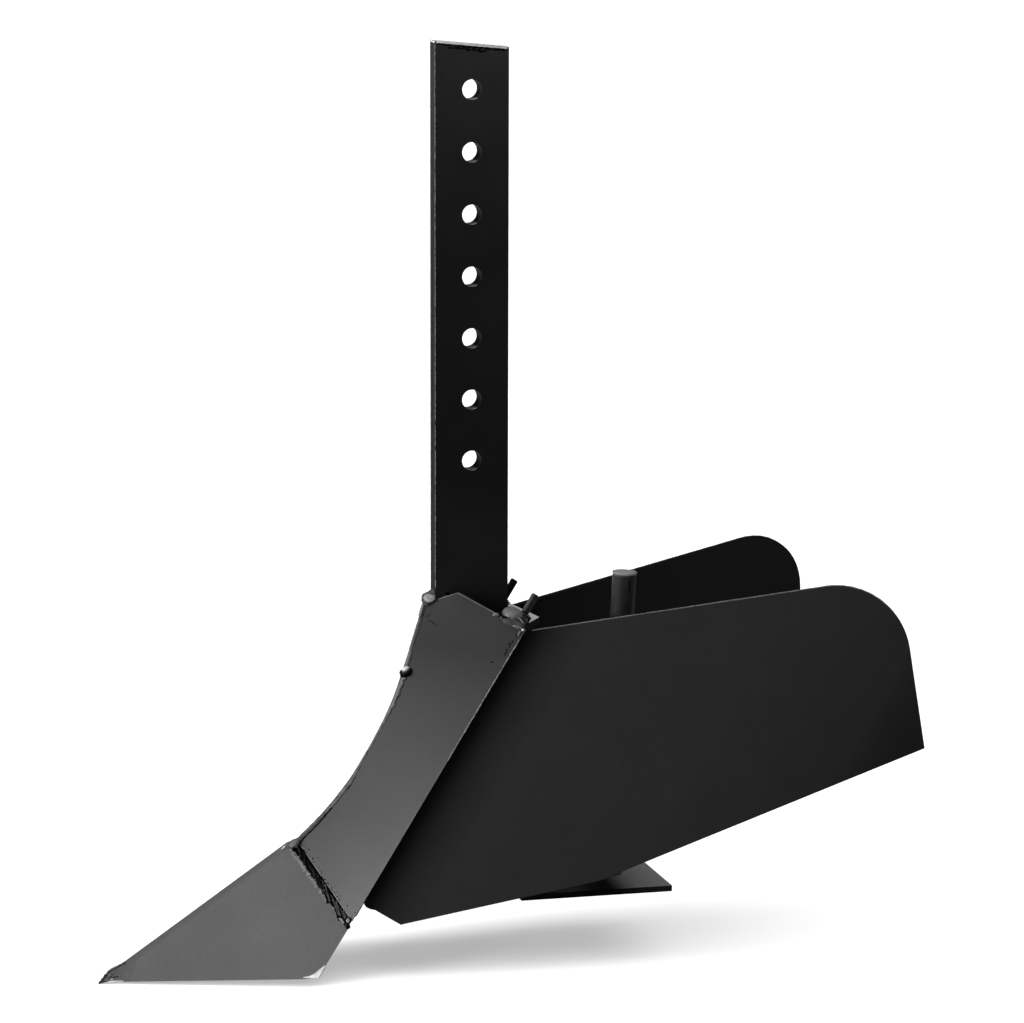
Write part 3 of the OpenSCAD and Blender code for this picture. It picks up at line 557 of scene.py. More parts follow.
def share_weld(side):
    """The burnt, ragged weld between a flank's foot and the share."""
    name = SIDES[side]
    n = mirrored(flank_normal(1), side)

    def at(v, across, lift=0.0):
        a = ruling(1, v)
        b = SHARE_TOP.lerp(SHARE_REAR, v)
        return mirrored(a.lerp(b, across), side) + n * lift

    steps = [k / 60 for k in range(61)]

    def run(tag, points, width, height, mat, seed, lift=0.0, rough=0.8, ripple=0.25):
        """A bead through marks of (place along the joint, place across it)."""
        path = [at(v, across, lift) for v, across in points]
        return bead(f"{name}_{tag}", path, n, width, height, mat, seed=seed + side, rough=rough,
                    ripple=ripple, pitch=1.9, step=0.4)

    for k, across in enumerate((-0.04, 1.04)):
        run(f"weld_root_{k}", [(0.97 * v, across) for v in steps], 2.4, 0.4, SOOT_AND_SHADE, 51 + k, -0.75, 0.15, 0.05)
    for k, (across, width, height) in enumerate([(0.16, 1.7, 0.7), (0.5, 3.2, 0.9), (0.86, 1.9, 0.7)]):
        marks = [(0.045 + 0.935 * v, across + 0.12 * wobble(v * 45, 13 * k + side, 0.14)) for v in steps]
        o = run(f"weld_bed_{k}", marks, width, height, SOOT_AND_SHADE, 3 + 5 * k, -0.3)
        if k == 1:
            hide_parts(f"{name}_share_weld")
    rnd = random.Random(41 + side)
    for k in range(22):
        v, length = 0.05 + 0.04 * k, rnd.uniform(0.09, 0.2)
        start, stop = rnd.uniform(0.0, 0.45), rnd.uniform(0.7, 1.12)
        marks = [(min(0.965, v + length * t), start + (stop - start) * t + 0.1 * wobble(t * 4, k, 1))
                 for t in steps[::6]]
        if k % 2:
            run(f"weld_strand_{k}", marks, rnd.uniform(0.4, 0.9), 0.5, STRAND if k > 9 else CINDER_AND_SHADE, 70 + k,
                0.55, 1.0)
        else:
            run(f"weld_strand_{k}", marks, rnd.uniform(0.9, 1.8), 0.6, SOOT_AND_SHADE if k % 4 or k < 9 else STRAND,
                70 + k, 0.35, 0.9)
    for k, (v, across) in enumerate(((0.6, 0.7), (0.79, 0.75))):
        run(f"weld_tooth_{k}", [(v, across), (v + 0.05, across + 0.35), (v + 0.1, across + 0.65)], 2.0, 0.6,
            SOOT_AND_SHADE, 131 + k, 0.1, 0.5)
    run("share_lip", [(0.05 + 0.9 * v, 1.32 + 0.08 * wobble(v * 45, 91 + side, 0.4)) for v in steps], 2.8,
        0.35, WEAR_AND_SHEEN, 61, 0.05, 1.2, 0.1)
    run("flank_lip", [(0.06 + 0.9 * v, -0.14 + 0.1 * wobble(v * 45, 97 + side, 0.4)) for v in steps], 0.7,
        0.25, SHARE_LIP, 65, -0.05, 1.5, 0.3)
    run("weld_wedge", [(0.86, 1.15), (0.9, 0.95), (0.95, 0.9)], 1.6, 0.5, WEAR_AND_SHEEN, 67, 0.4, 0.6)
    run("weld_spot", [(0.9, 1.75), (0.93, 1.7)], 1.7, 0.4, WEAR_AND_SHEEN, 68, 0.0, 0.6)
    run("weld_edge_chip", [(0.96, 1.5), (0.992, 1.45)], 1.0, 0.3, WEAR_AND_SHEEN, 69, 0.0, 0.8)
    end = at(0.955, 0.3, 0.75)
    blob(f"{name}_weld_pool", end, (1.3, 1.9, 0.5), n, WEAR_AND_SHEEN, seed=4, rough=0.2)
    bead(f"{name}_weld_ring", ring(end, n, 1.9), n, 1.1, 0.8, SOOT_AND_SHADE, seed=4, rough=0.3, step=0.3)
    blob(f"{name}_weld_end", at(0.985, 0.75, 0.1), (1.5, 1.9, 1.0), n, SOOT_AND_SHADE, seed=4)
    run("weld_start", [(0.03, 0.05), (0.05, 0.4), (0.085, 0.5)], 2.6, 0.8, BEAD, 75, 0.2, 0.4)
    marks = ((0.82, 0.05), (0.885, 0.055), (0.922, 0.055), (0.943, 0.05), (0.973, 0.05), (0.995, 0.06))
    seam = [mirrored(ruling(f, v), side) for f, v in marks]
    seam += [at(0.06, 0.45, 0.2), at(0.066, 0.9, 0.3), at(0.09, 1.1, 0.2)]
    bead(f"{name}_foot_seam", seam, mirrored(flank_normal(0.92), side), 1.0, 0.35, SOOT_AND_SHADE, seed=141 + side,
         rough=0.6, ripple=0.15, sink=0.05, step=0.4)
    run("weld_start_crack", [(0.025, 0.15), (0.04, 0.62), (0.06, 0.98), (0.1, 1.05)], 0.9, 0.5, SOOT_AND_SHADE, 76,
        0.45, 0.5)
    run("start_pit", [(0.045, 1.05), (0.05, 1.4)], 1.0, 0.3, CINDER_AND_SHADE, 77, 0.1, 0.6)
    run("start_chip_low", [(0.09, 1.5), (0.16, 1.4)], 1.5, 0.3, SHARE_LIP, 79, 0.05, 0.9)
    streak = [mirrored(Vector(q) + SHARE_SKIN * 0.75, side) for q in STREAK]
    bead(f"{name}_start_streak", streak, mirrored(SHARE_SKIN, side), 0.9, 0.3, BRIGHT, seed=78, rough=0.5,
         ripple=0.1)
    rnd = random.Random(5 + side)
    drops = bmesh.new()
    for k in range(34):
        v = rnd.random() ** 1.3
        off = rnd.uniform(0.12, 0.4) if k < 24 else rnd.uniform(0.3, 0.9)
        r = rnd.uniform(0.16, 0.5)
        p = mirrored(ruling(1 - off * WELD_GAP / RIDGE_LEN, v), side)
        m = Matrix.Translation(p * MM) @ n.to_track_quat("Z", "Y").to_matrix().to_4x4()
        bmesh.ops.create_icosphere(drops, subdivisions=2, radius=r * MM, matrix=m)
    mesh = bpy.data.meshes.new(f"{name}_spatter")
    drops.to_mesh(mesh)
    drops.free()
    place(f"{name}_spatter", mesh, SOOT_AND_SHADE, smooth=False)


def ring(centre, axis, radius, count=48):
    """Points round a circle, the first one repeated at the end."""
    turn = Vector(axis).to_track_quat("Z", "Y").to_matrix()
    return [Vector(centre) + turn @ Vector((radius * math.cos(a), radius * math.sin(a), 0))
            for a in (2 * math.pi * k / count for k in range(count + 1))]


def hinge_welds(side):
    """Weld metal between the cap plate, the boss, the shank and the flank's top edge."""
    name = SIDES[side]
    pin_up = Vector((-math.sin(LEAN), 0, math.cos(LEAN)))
    top = mirrored(world(0, HINGE_HALF, 0), side)
    out = mirrored((-0.1, 0.53, 0.84), side)

    def line(tag, path, width, height, mat, seed, lift=0.0, rough=0.45, ripple=0.1):
        bead(f"{name}_{tag}", [mirrored(p, side) + out * lift for p in path], out, width, height, mat,
             seed=seed + side, rough=rough, ripple=ripple)

    def on_flank(*marks):
        """Points of the flank's outer face."""
        return [mirrored(ruling(f, v), side) for f, v in marks]

    bead(f"{name}_boss_ring", ring(top + pin_up * 0.1, pin_up, 3.5), pin_up, 1.2, 0.7, SOOT_AND_SHADE, seed=5,
         rough=0.3)
    blob(f"{name}_cap_dome", mirrored((-22.6, 24.4, -219.6), side), (9.3, 7.2, 4.6), (-0.3, 0.15, 1), DOME,
         seed=2, rough=0.05)
    line("cap_fill", ((-14.5, 30.5, -219.6), (-20.0, 33.0, -221.6), (-26.5, 37.0, -225.1)), 9.0, 1.9, FILL,
         20, -0.6, 0.1)
    line("cap_pool", ((-27.5, 30.5, -221.0), (-29.5, 33.0, -223.0)), 6.0, 1.4, FILL, 22, -0.3, 0.15)
    line("cap_streak", ((-16.2, 30.6, -219.2), (-20.2, 30.8, -219.8), (-23.4, 31.6, -220.7),
                        (-25.1, 33.6, -222.2), (-26.3, 36.0, -224.0)), 0.9, 0.7, SHARE_LIP, 24, 1.1, 0.3)
    line("cap_streak_high", ((-17.5, 29.4, -218.8), (-22.0, 29.8, -219.9), (-26.0, 31.4, -221.2)), 0.7, 0.5,
         SHARE_LIP, 25, 1.2, 0.4)
    line("cap_shade", ((-17.0, 31.8, -220.0), (-21.0, 32.4, -220.8), (-24.0, 34.2, -222.4),
                       (-25.2, 36.6, -224.4)), 0.6, 0.4, CINDER_AND_SHADE, 26, 1.1, 0.4)
    line("cap_streak_low", ((-18.5, 37.3, -223.8), (-20.6, 38.2, -224.6), (-23.1, 38.7, -225.3),
                            (-24.5, 39.4, -226.0)), 1.5, 0.7, SHARE_LIP, 27, 0.3, 0.5)
    line("cap_foot", ((-12.0, 31.2, -219.0), (-15.5, 33.6, -221.0), (-19.0, 36.4, -223.3)), 2.6, 0.9, FILL,
         29, 0.1, 0.6)
    line("cap_cleft", ((-25.6, 31.6, -221.2), (-26.8, 33.4, -222.4), (-27.8, 35.2, -223.6)), 0.6, 0.5, CINDER_AND_SHADE,
         31, 1.1, 0.3)
    blob(f"{name}_cap_pit", mirrored((-14.6, 32.0, -219.6), side), (2.0, 1.1, 0.9), out, SOOT_AND_SHADE, seed=3,
         detail=3)
    blob(f"{name}_edge_drop", mirrored((-24.8, 39.6, -226.6), side), (0.9, 0.7, 0.6), out, BRIGHT, seed=7,
         detail=3)
    line("edge_weld", ((-24.9, 39.2, -227.4), (-22.6, 39.3, -227.6), (-21.6, 39.4, -230.5)), 0.8, 0.4, WEAR_AND_SHEEN,
         34, 0.0, 0.6)
    blob(f"{name}_top_drop", mirrored((-9.6, 29.0, -217.8), side), (2.2, 1.1, 0.8), out, WEAR_AND_SHEEN, seed=6,
         rough=0.3)
    blob(f"{name}_top_gap", mirrored((-12.1, 30.3, -218.9), side), (0.8, 0.8, 0.7), out, SOOT_AND_SHADE, seed=6,
         detail=3)
    rim = on_flank((0.004, 0.965), (0.03, 0.965), (0.06, 0.965), (0.085, 0.965))
    bead(f"{name}_rim_weld", rim, mirrored(flank_normal(0.03), side), 2.6, 0.4, FLANK, seed=33, rough=0.6)
    skin = mirrored(flank_normal(0.04), side)
    shade = on_flank((0.01, 0.945), (0.04, 0.945), (0.07, 0.945), (0.1, 0.945))
    bead(f"{name}_rim_shade", shade, skin, 0.7, 0.3, SOOT_AND_SHADE, seed=37, rough=1.2, sink=0.12)
    for k, (f, v, r) in enumerate(((0.055, 0.925, 0.9), (0.075, 0.93, 0.7), (0.125, 0.87, 0.8),
                                   (0.03, 0.96, 0.6))):
        blob(f"{name}_flank_mark_{k}", mirrored(ruling(f, v), side), (r, r * 0.6, 0.3), skin, SOOT_AND_SHADE, seed=k,
             rough=0.5, detail=2)
    tilt = mirrored((0.45, 0.78, 0.43), side)
    blob(f"{name}_shank_lens", mirrored((28.2, 3.8, -209.7), side), (3.9, 2.9, 0.9), tilt, WEAR_AND_SHEEN, seed=9,
         rough=0.3)
    arc = on_flank((0.05, 0.055), (0.032, 0.1), (0.03, 0.17), (0.045, 0.25))
    bead(f"{name}_lens_arc", arc, skin, 0.6, 0.25, SOOT_AND_SHADE, seed=17, rough=0.8, sink=0.05)
    arc = on_flank((0.062, 0.09), (0.055, 0.13), (0.068, 0.19))
    bead(f"{name}_lens_arc_low", arc, skin, 0.5, 0.2, SOOT_AND_SHADE, seed=19, rough=0.8, sink=0.05)
    swirl = [mirrored(q, side) for q in ((26.6, 4.4, -208.6), (26.2, 4.5, -210.4), (27.6, 4.2, -211.2))]
    bead(f"{name}_lens_swirl", swirl, tilt, 0.9, 0.4, CINDER_AND_SHADE, seed=11)
    rim_line = [mirrored(q, side) for q in ((31.6, 3.0, -213.0), (28.2, 3.8, -213.9), (24.8, 4.6, -212.6),
                                            (22.6, 5.2, -209.6))]
    bead(f"{name}_lens_rim", rim_line, tilt, 0.6, 0.5, CINDER_AND_SHADE, seed=13)
    trail = [mirrored(crest(d) + Vector((-0.9, 1.5, 0)), side) for d in (0.5, 3, 6, 9.5)]
    bead(f"{name}_ridge_trail", trail, (0.6, 0.8 * side, 0.2), 0.9, 0.6, WEAR_AND_SHEEN, seed=15, rough=0.6)
    inside = [mirrored(world(-1.5, 32.0, -1.0 - 14.0 * t), side) for t in (0, 0.5, 1)]
    bead(f"{name}_boss_weld", inside, BACK, 5.0, 1.2, INSIDE, seed=35, rough=0.25)


def nose_fill():
    """Weld metal that slopes from the shank's front face down to the top of the ridge."""
    path = [(23.6, 0, -204.3), (26.3, 0, -206.9), (28.4, 0, -209.1), (30.4, 0, -211.3), (32.6, 0, -213.6)]
    bead("nose_fill", path, (0.72, 0, 0.69), 8.6, 4.2, FILL, seed=12, rough=0.06, ripple=0.02, sink=3)
    low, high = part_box("nose_nugget")
    centre = [(a + b) / 2 / MM for a, b in zip(low, high)]
    # A near-black blob over the nugget's lower half: painted shade.
    blob("nugget_shade", (centre[0] + 0.1, 0.3, centre[2] - 1.7), (3.8, 3.6, 3.4), UP, SOOT_AND_SHADE, seed=8,
         rough=0.12)


def on_post(across, y, up):
    """A point of the post's frame: across forwards, y to the left, up along the post."""
    a = POST_LEAN
    return Vector(POST_FOOT) + Vector((across * math.cos(a) - up * math.sin(a), y,
                                       across * math.sin(a) + up * math.cos(a)))


def inner_welds(side):
    """Fillet welds of the lugs and the stay on a wing's inner face, and of the plates in the nose."""
    name = SIDES[side]
    body = f"{name}_wing"
    inward = on_wing(0, -1, 0, side) - on_wing(0, 0, 0, side)
    rise = world(0, 0, 1) - world(0, 0, 0)
    joints = [(f"lug_{k}", 9.0, 29.0, u, LUG_T) for k, u in enumerate(LUG_US)]
    joints.append(("stay", 72.0, 88.0, STAY_US[side], STAY_T))
    for tag, near, far, u, thick in joints:
        for edge, sign in ((-u, 1), (-u - thick, -1)):
            path = [on_wing(near + (far - near) * t, WING_INNER - 0.2, edge + 0.5 * sign, side)
                    for t in (0, 0.5, 1)]
            bead(f"{name}_{tag}_weld_{ENDS[sign]}", path, inward + rise * sign, 3.0, 1.3,
                 INSIDE, body, seed=u, rough=0.25, step=0.8)
    for edge, sign in ((-FROG_U, 1), (-FROG_U - FROG_T, -1)):
        path = [mirrored(world(r, SHANK_HALF + 0.4, edge + 0.3 * sign), side) for r in (19.0, 6.0, -5.0)]
        bead(f"{name}_frog_weld_{ENDS[sign]}", path, rise * sign + Vector((0, 0.9 * side, 0)), 3.2, 1.3,
             INSIDE, seed=edge, rough=0.25, step=0.8)
    for edge, sign in ((-LOW_PLATE_U, 1), (-LOW_PLATE_U - LOW_PLATE_T, -1)):
        path = [mirrored(world(r, y, edge - 0.5 * sign), side)
                for r, y in ((-4.0, 30.6), (-15.0, 19.8), (-27.0, 7.6))]
        bead(f"{name}_low_plate_weld_{ENDS[sign]}", path, rise * sign, 5.0, 1.2, INSIDE,
             seed=edge, rough=0.25, step=0.9)


def heel_welds():
    """Fillet welds of the heel's sleeve, the set screw's boss, the post's foot and the cap plate."""
    marks = [2 * math.pi * k / 48 for k in range(49)]
    rise = world(0, 0, 1) - world(0, 0, 0)

    def at_level(a, u):
        p = on_post((SLEEVE_R + 0.3) * math.cos(a), (SLEEVE_R + 0.3) * math.sin(a), 0)
        step = on_post(0, 0, 1) - on_post(0, 0, 0)
        slope = -step.x * math.sin(LEAN) + step.z * math.cos(LEAN)
        return p + step * (u - hinge_level(p)) / slope

    bead("sleeve_weld_top", [at_level(a, -FROG_U + 0.3) for a in marks], rise, 3.2, 1.5, INSIDE, seed=51,
         rough=0.2)
    bead("sleeve_weld_low", [at_level(a, -FROG_U - FROG_T - 0.3) for a in marks], -rise, 3.2, 1.5, INSIDE,
         seed=53, rough=0.2)
    nut = []
    for a in marks:
        y = SCREW_BOSS_R * math.cos(a)
        nut.append(on_post(-math.sqrt(SLEEVE_R ** 2 - y ** 2) + 0.1, y,
                           SCREW_AT + SCREW_BOSS_R * math.sin(a)))
    bead("screw_nut_weld", nut, Vector((-1, 0, 0)), 2.4, 1.0, INSIDE, seed=55, rough=0.2)
    foot_r = POST_R + 0.3
    foot = [Vector(POST_FOOT) + Vector((foot_r * math.cos(a), foot_r * math.sin(a),
                                        0.25 + 0.14 * math.cos(a))) for a in marks]
    bead("foot_weld", foot, UP, 3.4, 1.6, DARK_EDGE, "heel", seed=57, rough=0.2)
    cap = [(SHANK_REAR - 0.4, -5.4, -217.6), (SHANK_REAR - 0.4, 0, -215.9), (SHANK_REAR - 0.4, 5.4, -217.6)]
    bead("cap_shank_weld", cap, (-0.6, 0, 0.8), 3.0, 1.3, CINDER_AND_SHADE, seed=59, rough=0.25)


def shank_trim(side):
    """The raw saw cut and the worn corners of the shank bar."""
    name = SIDES[side]
    low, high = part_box("shank")
    front, rear, top = high[0] / MM, low[0] / MM, high[2] / MM
    across, half = Vector((0, side, 0)), SHANK_HALF

    def cut(t, below):
        return top - below - (front - rear) * t * math.tan(SHANK_SLANT)

    path = [(front - 0.6 - (front - rear - 1.2) * t, half * side, cut(t, 0.75))
            for t in (k / 40 for k in range(41))]
    bead(f"{name}_saw_edge", path, across, 1.3, 0.2, BRIGHT, seed=81 + side, rough=0.5, ripple=0.1, sink=0.02)
    path = [(front - 1.5 - (front - rear - 2.5) * t, half * side,
             cut(t, 2.0 + 0.35 * wobble(t * 40, 83 + side, 0.3))) for t in (k / 40 for k in range(41))]
    bead(f"{name}_saw_shade", path, across, 1.7, 0.15, SOOT_AND_SHADE, seed=85 + side, rough=1.0, ripple=0.2, sink=0.05)
    path = [(front - 8 - 26 * t, half * side, cut(0.15 + 0.55 * t, 3.6 + 0.6 * t)) for t in (0, 0.5, 1)]
    bead(f"{name}_saw_mark", path, across, 1.5, 0.12, SOOT_AND_SHADE, seed=87 + side, rough=1.4, ripple=0.2, sink=0.05)
    path = [(front, (half - 0.5 - (half - 0.5) * t) * side, top - 0.8) for t in (0, 0.5, 1)]
    bead(f"{name}_saw_front", path, FRONT, 1.2, 0.2, BRIGHT, seed=88 + side, rough=0.5, ripple=0.1, sink=0.02)
    for k, (x, width, mat) in enumerate(((half - 0.35, 0.8, SHARE_LIP), (half - 3.2, 0.7, CINDER_AND_SHADE))):
        path = [(front, (x + 0.15 * wobble(t * 300, 89 + k + side, 0.1)) * side, top - 1 - (top + 203) * t)
                for t in (j / 160 for j in range(161))]
        bead(f"{name}_front_line_{k}", path, FRONT, width, 0.12, mat, seed=91 + k + side, rough=1.2,
             ripple=0.2, sink=0.05, step=0.9)


def rear_edge(side):
    """The worn line on a flank's rear edge, and the dark joint behind its foot."""
    name = SIDES[side]
    path = [mirrored(ruling(f, 0.993), side) for f in (k / 60 * 0.42 + 0.03 for k in range(61))]
    bead(f"{name}_rear_line", path, mirrored(flank_normal(0.25), side), 0.7, 0.25, SHARE_LIP, seed=95 + side,
         rough=0.9, ripple=0.2, sink=0.1, step=0.8)
    seal = [mirrored(world(EDGE_R, 37.2, EDGE_TOP + (EDGE_LOW - EDGE_TOP) * f), side)
            for f in (0.7, 0.8, 0.9, 0.985)]
    bead(f"{name}_rear_seal", seal, BACK, 2.2, 1.1, SOOT_AND_SHADE, seed=143 + side, rough=0.15, ripple=0.05, sink=0.05)


def wing_trim(side):
    """The toe of a wing's lower front corner, and a light line along its top edge: a painted highlight."""
    name = SIDES[side]
    lower = ((6.6, -215.2), (8.6, -216.2), (11.5, -216.0), (14.9, -214.8), (20.0, -214.8), (27.0, -214.7),
             (34.0, -214.6))
    rim = [[on_wing(q, y, u, side) for q, u in lower] for y in (WING_OUTER, TOE_INNER)]
    top = [[on_wing(q, y, -213.2, side) for q, u in lower] for y in (WING_OUTER, TOE_INNER)]
    verts, faces = sheet_mesh([rim[0], top[0]], [rim[1], top[1]])
    make(f"{name}_wing_toe", verts, faces, WINGS[side], f"{name}_wing", smooth=False)
    along = Vector((cosd(WING_SLOPE), sind(WING_SLOPE)))
    down = Vector((sind(WING_SLOPE), -cosd(WING_SLOPE)))
    head = Vector((WING_FRONT, EDGE_TOP - 1))
    turn = head + along * WING_TOP + (down - along) * WING_ROUND
    marks = [head + along * (3 + 194 * k / 40) for k in range(41)]
    marks += [turn + WING_ROUND * Vector((cosd(a), sind(a))) for a in range(125, 68, -8)]
    out = on_wing(0, 1, 0.8, side) - on_wing(0, 0, 0, side)
    path = [on_wing(q.x, WING_OUTER, q.y - 0.1, side) for q in marks]
    bead(f"{name}_wing_line", path, out, 0.8, 0.2, WING_LINE, f"{name}_wing", seed=97 + side, rough=0.4,
         ripple=0.05, sink=0.1, step=0.9)


def share_crest():
    """The ground ridge where the two share plates meet."""
    end = SHARE_TOP + SHARE_DIR * SHARE_LEN
    outward = -SHARE_BACK
    down = ((SHARE_REAR - SHARE_TOP) - SHARE_DIR * (SHARE_REAR - SHARE_TOP).dot(SHARE_DIR)).normalized()
    rows, foot_rows = 60, 30
    outer, inner = [], []
    for i in range(rows + 1):
        foot = SHARE_TOP.lerp(end, i / rows)
        left = [foot + down * k + SHARE_SKIN * h
                for k, h in ((3.4, -0.15), (2.4, 0.03), (1.6, 0.12), (0.8, 0.24), (0, 0.42), (-0.6, 0.58))]
        row = left + [foot + outward * 1.22] + [mirrored(p, -1) for p in reversed(left)]
        outer.append(row)
        inner.append([p - outward * 0.9 for p in row])
    verts, faces = sheet_mesh(outer, inner)
    o = make("share_crest", verts, faces, SHARE)
    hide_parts("share_ridge_weld")
    outer, inner = [], []
    for i in range(foot_rows + 1):
        t = -0.25 + 1.7 * i / foot_rows
        blend, past = max(0, min(1, t)), max(0, t - 1)
        slide = (crest(RIDGE_LEN) - crest(RIDGE_LEN - 4)) * min(0, t) + SHARE_DIR * past * 18
        slide += outward * (1.6 * min(0, t) - 1.3 * past)
        left = ruling(1, 1.1 / FLANK_HALF).lerp(SHARE_TOP + down * 3.2 - SHARE_SKIN * 0.1, blend)
        middle = crest(RIDGE_LEN).lerp(SHARE_TOP, blend) + outward * (-0.8 + 1.8 * blend)
        peak = middle * 2 - Vector((left.x, 0, left.z))
        row = [left * (1 - u) ** 2 + peak * 2 * u * (1 - u) + mirrored(left, -1) * u * u + slide
               for u in (k / 10 for k in range(11))]
        outer.append(row)
        inner.append([q - outward * 1.5 for q in row])
    verts, faces = sheet_mesh(outer, inner)
    make("ridge_foot", verts, faces, SHARE)
    blob("ridge_plug", (crest(RIDGE_LEN) + SHARE_TOP) / 2 - outward * 2.6, (4.5, 4.2, 2.2), outward, SHARE,
         seed=10, rough=0.08)


def share_corner(side):
    """The sharp rear corner of a share plate, in a bright grey that is a painted highlight."""
    name = SIDES[side]
    rim = [[mirrored(q, side) for q in row] for row in zip(CORNER_INNER, CORNER_OUTER)]
    skin = mirrored(SHARE_SKIN, side)
    outer, inner = ([[p + skin * h for p in row] for row in rim] for h in (0.12, -1.8))
    verts, faces = sheet_mesh(outer, inner)
    make(f"{name}_share_corner", verts, faces, BRIGHT, smooth=False)
    bead(f"{name}_corner_line", [row[1] for row in rim[2:]], skin, 0.6, 0.15, SOOT_AND_SHADE, seed=98 + side, rough=0.3,
         ripple=0.05, sink=0.05)


def tube(rows, count):
    """The faces between rings of count points each."""
    return [(i * count + k, i * count + (k + 1) % count, (i + 1) * count + (k + 1) % count, (i + 1) * count
             + k) for i in range(rows - 1) for k in range(count)]


def post_end():
    """The sawn end of the heel's post."""
    rings = [(0, POST_R - 0.3), (0.8, POST_R + 0.2), (1.5, POST_R + 0.1), (1.75, POST_R - 0.8)]
    low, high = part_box("heel_post")
    level = (high[2] / MM - POST_FOOT[2]) / math.cos(POST_LEAN) - 0.6
    count = 64
    verts = [on_post(r * (1 + 0.02 * wobble(k * 0.8, 71, 1)) * math.cos(2 * math.pi * k / count),
                     r * math.sin(2 * math.pi * k / count), level + h) for h, r in rings
             for k in range(count)]
    verts.append(on_post(0, 0, level + 1.7))
    faces = tube(len(rings), count)
    faces += [(3 * count + k, 3 * count + (k + 1) % count, 4 * count) for k in range(count)]
    faces.append(tuple(range(count - 1, -1, -1)))
    o = make("post_end", verts, faces, POST_END, "heel", smooth=False)
    path = [on_post(-1.1 + 0.3 * wobble(h, 73, 0.6), POST_R - 0.1, level - h) for h in (2.5, 4, 5.5, 7, 8.5,
                                                                                        10)]
    bead("post_scratch", path, (-0.13, 0.99, 0), 0.9, 0.15, SOOT_AND_SHADE, "heel", seed=73, rough=1.6, sink=0.05,
         step=0.4)


def on_tip(a, b):
    """A point of the forged point's left side: a from the share to the nose, b from top to bottom."""
    a = max(0, min(1, a)) * 6 + 1
    i = min(6, int(a))
    top, low = (Vector(TIP_ROWS[i][k]).lerp(Vector(TIP_ROWS[i + 1][k]), a - i) for k in (0, 1))
    return top.lerp(low, b) + Vector((0, 0.12 * min(3, a - 1) * math.sin(math.pi * b) + 0.1, 0))


def forged_tip():
    """The forged point, drawn out of the share without a step."""
    rows = []
    for i in range(43):
        if i:
            left = [on_tip((i - 1) / 41, j / 6) for j in range(7)]
            for j, p in enumerate(left[1:]):
                p.y += min(1, (i - 1) / 12) * 0.12 * wobble(i * 0.9 + j * 1.7, 121, 1)
        else:
            left = [Vector(TIP_ROWS[0][0]).lerp(Vector(TIP_ROWS[0][1]), j / 6) - SHARE_SKIN * 0.25
                    for j in range(7)]
        rows.append(left + [mirrored(p, -1) for p in reversed(left)])
    count = len(rows[0])
    verts = [p for row in rows for p in row]
    faces = tube(len(rows), count)
    faces += [tuple(range(count)), tuple((len(rows) - 1) * count + k for k in range(count))]
    o = make("forged_tip", verts, faces, TIP)
    o.data.set_sharp_from_angle(angle=math.radians(30))
    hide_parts("share_tip")


def tip_trim(side):
    """Dark burnt corners and bright chips on the forged point."""
    name = SIDES[side]
    across = Vector((0.3, side, 0.2))

    def line(tag, points, width, mat, seed, rough=0.7):
        path = [mirrored(on_tip(a, b), side) for a, b in points]
        bead(f"{name}_tip_{tag}", path, across, width, 0.25, mat, seed=seed, rough=rough, ripple=0.1,
             sink=0.08, step=0.35)

    line("front", ((0.5, 0.07), (0.66, 0.1), (0.82, 0.2), (0.97, 0.4)), 1.1, SOOT_AND_SHADE, 101)
    line("brow", ((0.0, 0.03), (0.17, 0.04), (0.33, 0.05), (0.5, 0.06)), 0.9, CINDER_AND_SHADE, 103)
    line("chip", ((0.52, 0.28), (0.55, 0.42)), 1.0, WEAR_AND_SHEEN, 107)
    line("smudge", ((0.46, 0.3), (0.44, 0.5), (0.52, 0.62)), 1.0, CINDER_AND_SHADE, 109, 1.0)
    line("toe_chip", ((0.62, 0.72), (0.7, 0.62)), 1.3, WEAR_AND_SHEEN, 111)
    line("chip_low", ((0.33, 0.86), (0.5, 0.84)), 0.8, BRIGHT, 113)
    line("crack", ((0.16, 0.72), (0.35, 0.72), (0.56, 0.62), (0.66, 0.42)), 0.6, CINDER_AND_SHADE, 115)
    line("under", ((0.52, 0.97), (0.7, 0.95), (0.86, 0.9)), 0.8, CINDER_AND_SHADE, 117)


for side in (1, -1):
    flank(side)
    share_weld(side)
    share_corner(side)
    shank_trim(side)
    rear_edge(side)
    wing_trim(side)
    tip_trim(side)
    hinge_welds(side)
    inner_welds(side)
nose_bead()
nose_fill()
share_crest()
heel_welds()
post_end()
forged_tip()

# The CAD nodes that show themselves
dress(["shank"], SHANK, 0.5)
dress(["left_share", "right_share"], SHARE, 0)
dress(["share_tip"], TIP, 0)
dress(["nose_nugget"], NUGGET, 0)
dress(["left_wing"], WINGS[1], 0.4)
dress(["right_wing"], WINGS[-1], 0.4)
dress(["cap_plate", "left_pin_boss", "right_pin_boss"], CAP, 0.4)
dress(["heel_post"], POST, 0.4)
dress(["sole_plate"], SOLE, 0.5)
dress(["left_hinge_pin"], PIN, 0.8)
dress(["right_hinge_pin"], SHADED_PIN, 0.8)
dress(["frog_plate", "lower_hinge_plate", "left_upper_lug", "left_lower_lug", "right_upper_lug",
       "right_lower_lug", "left_stay", "right_stay", "heel_sleeve", "set_screw_boss"], INSIDE, 0.35,
      DARK_EDGE)
dress(["left_split_pins", "right_split_pins", "set_screw", "lock_nut", "clamp_bolt", "clamp_washer",
       "clamp_nut"], STEEL, 0.25)

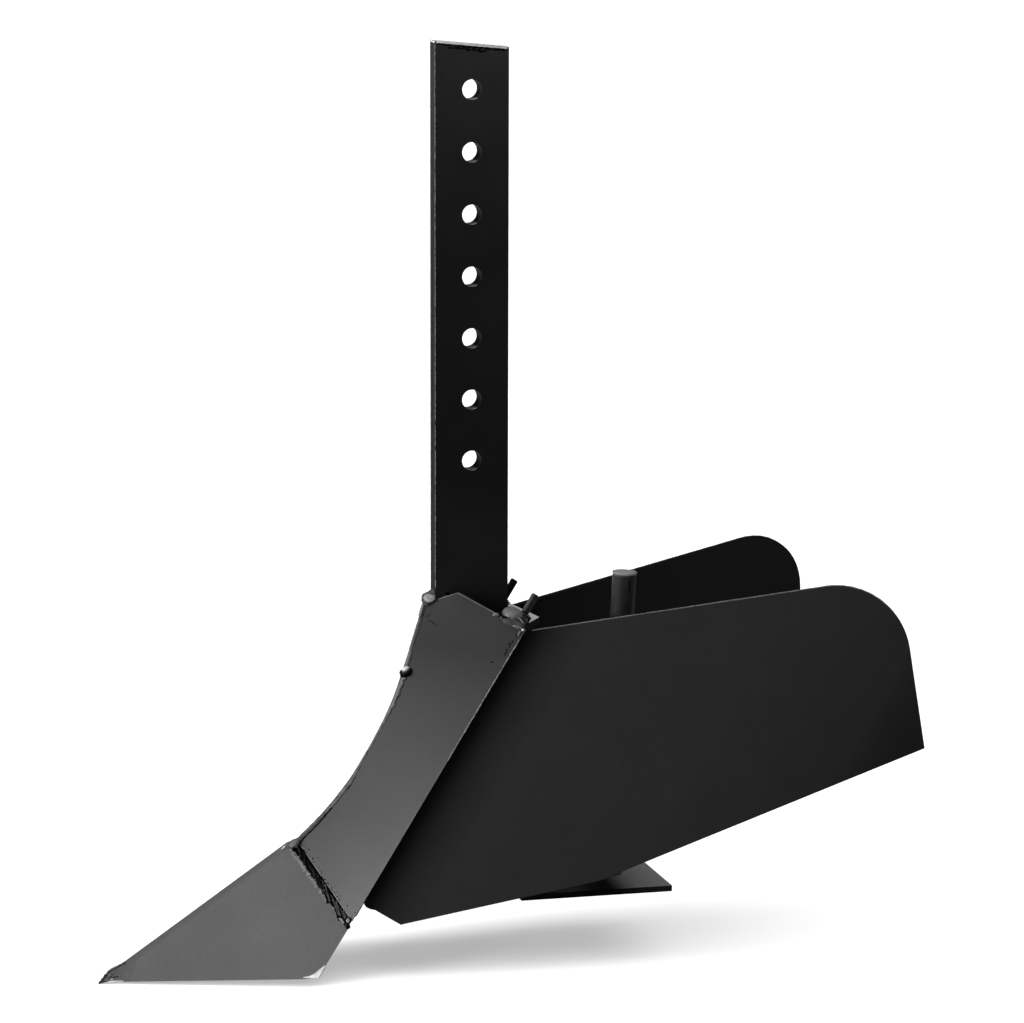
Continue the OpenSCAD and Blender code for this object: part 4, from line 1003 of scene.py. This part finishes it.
# Camera, at the photograph's viewing angle
cam = new_object("camera", bpy.data.cameras.new("camera"))
turn = Matrix((CAMERA_RIGHT, CAMERA_UP, CAMERA_BACK)).transposed().to_4x4()
cam.matrix_world = Matrix.Translation(CAMERA_AT) @ turn
cam.data.sensor_fit = "HORIZONTAL"
cam.data.sensor_width = SENSOR
cam.data.lens = LENS
cam.data.clip_start, cam.data.clip_end = CLIP
bpy.context.scene.camera = cam

# Floor
mesh = bpy.data.meshes.new("floor")
corners = ((-1, -1), (1, -1), (1, 1), (-1, 1))
mesh.from_pydata([(FLOOR_HALF * x, FLOOR_HALF * y, FLOOR_Z) for x, y in corners], [], [(0, 1, 2, 3)])
floor = new_object("floor", mesh)
mat, tree, bsdf = node_tree("floor_white")
bsdf.inputs["Base Color"].default_value = (FLOOR_GREY, FLOOR_GREY, FLOOR_GREY, 1)
bsdf.inputs["Roughness"].default_value = 0.9
bsdf.inputs["Emission Color"].default_value = (1, 1, 1, 1)
bsdf.inputs["Emission Strength"].default_value = FLOOR_GLOW
bsdf.inputs["Specular IOR Level"].default_value = 0.1
mesh.materials.append(mat)


def softbox(name, stand, aim, size, power):
    light = bpy.data.lights.new(name, "AREA")
    light.shape = "RECTANGLE"
    light.size, light.size_y = size
    light.energy = power
    o = new_object(name, light)
    o.location = stand
    o.rotation_euler = (Vector(aim) - Vector(stand)).to_track_quat("-Z", "Y").to_euler()


def sun(name, towards, power, angle):
    light = bpy.data.lights.new(name, "SUN")
    light.energy = power
    light.angle = math.radians(angle)
    o = new_object(name, light)
    o.rotation_euler = (-Vector(towards)).to_track_quat("-Z", "Y").to_euler()


softbox("key", (0.9, 0.6, 2.2), (0, 0, -0.3), (1.0, 1.0), 12)
sun("top_sun", (-0.1, 0.1, 1), 3.4, 80)
sun("front_sun", (0.97, 0.12, 0.15), 11, 40)
studio = bpy.data.worlds.new("studio")
studio.use_nodes = True
studio.node_tree.nodes["Background"].inputs["Color"].default_value = (1, 1, 1, 1)
studio.node_tree.nodes["Background"].inputs["Strength"].default_value = SKY
bpy.context.scene.world = studio
bpy.context.scene.view_settings.view_transform = "Standard"
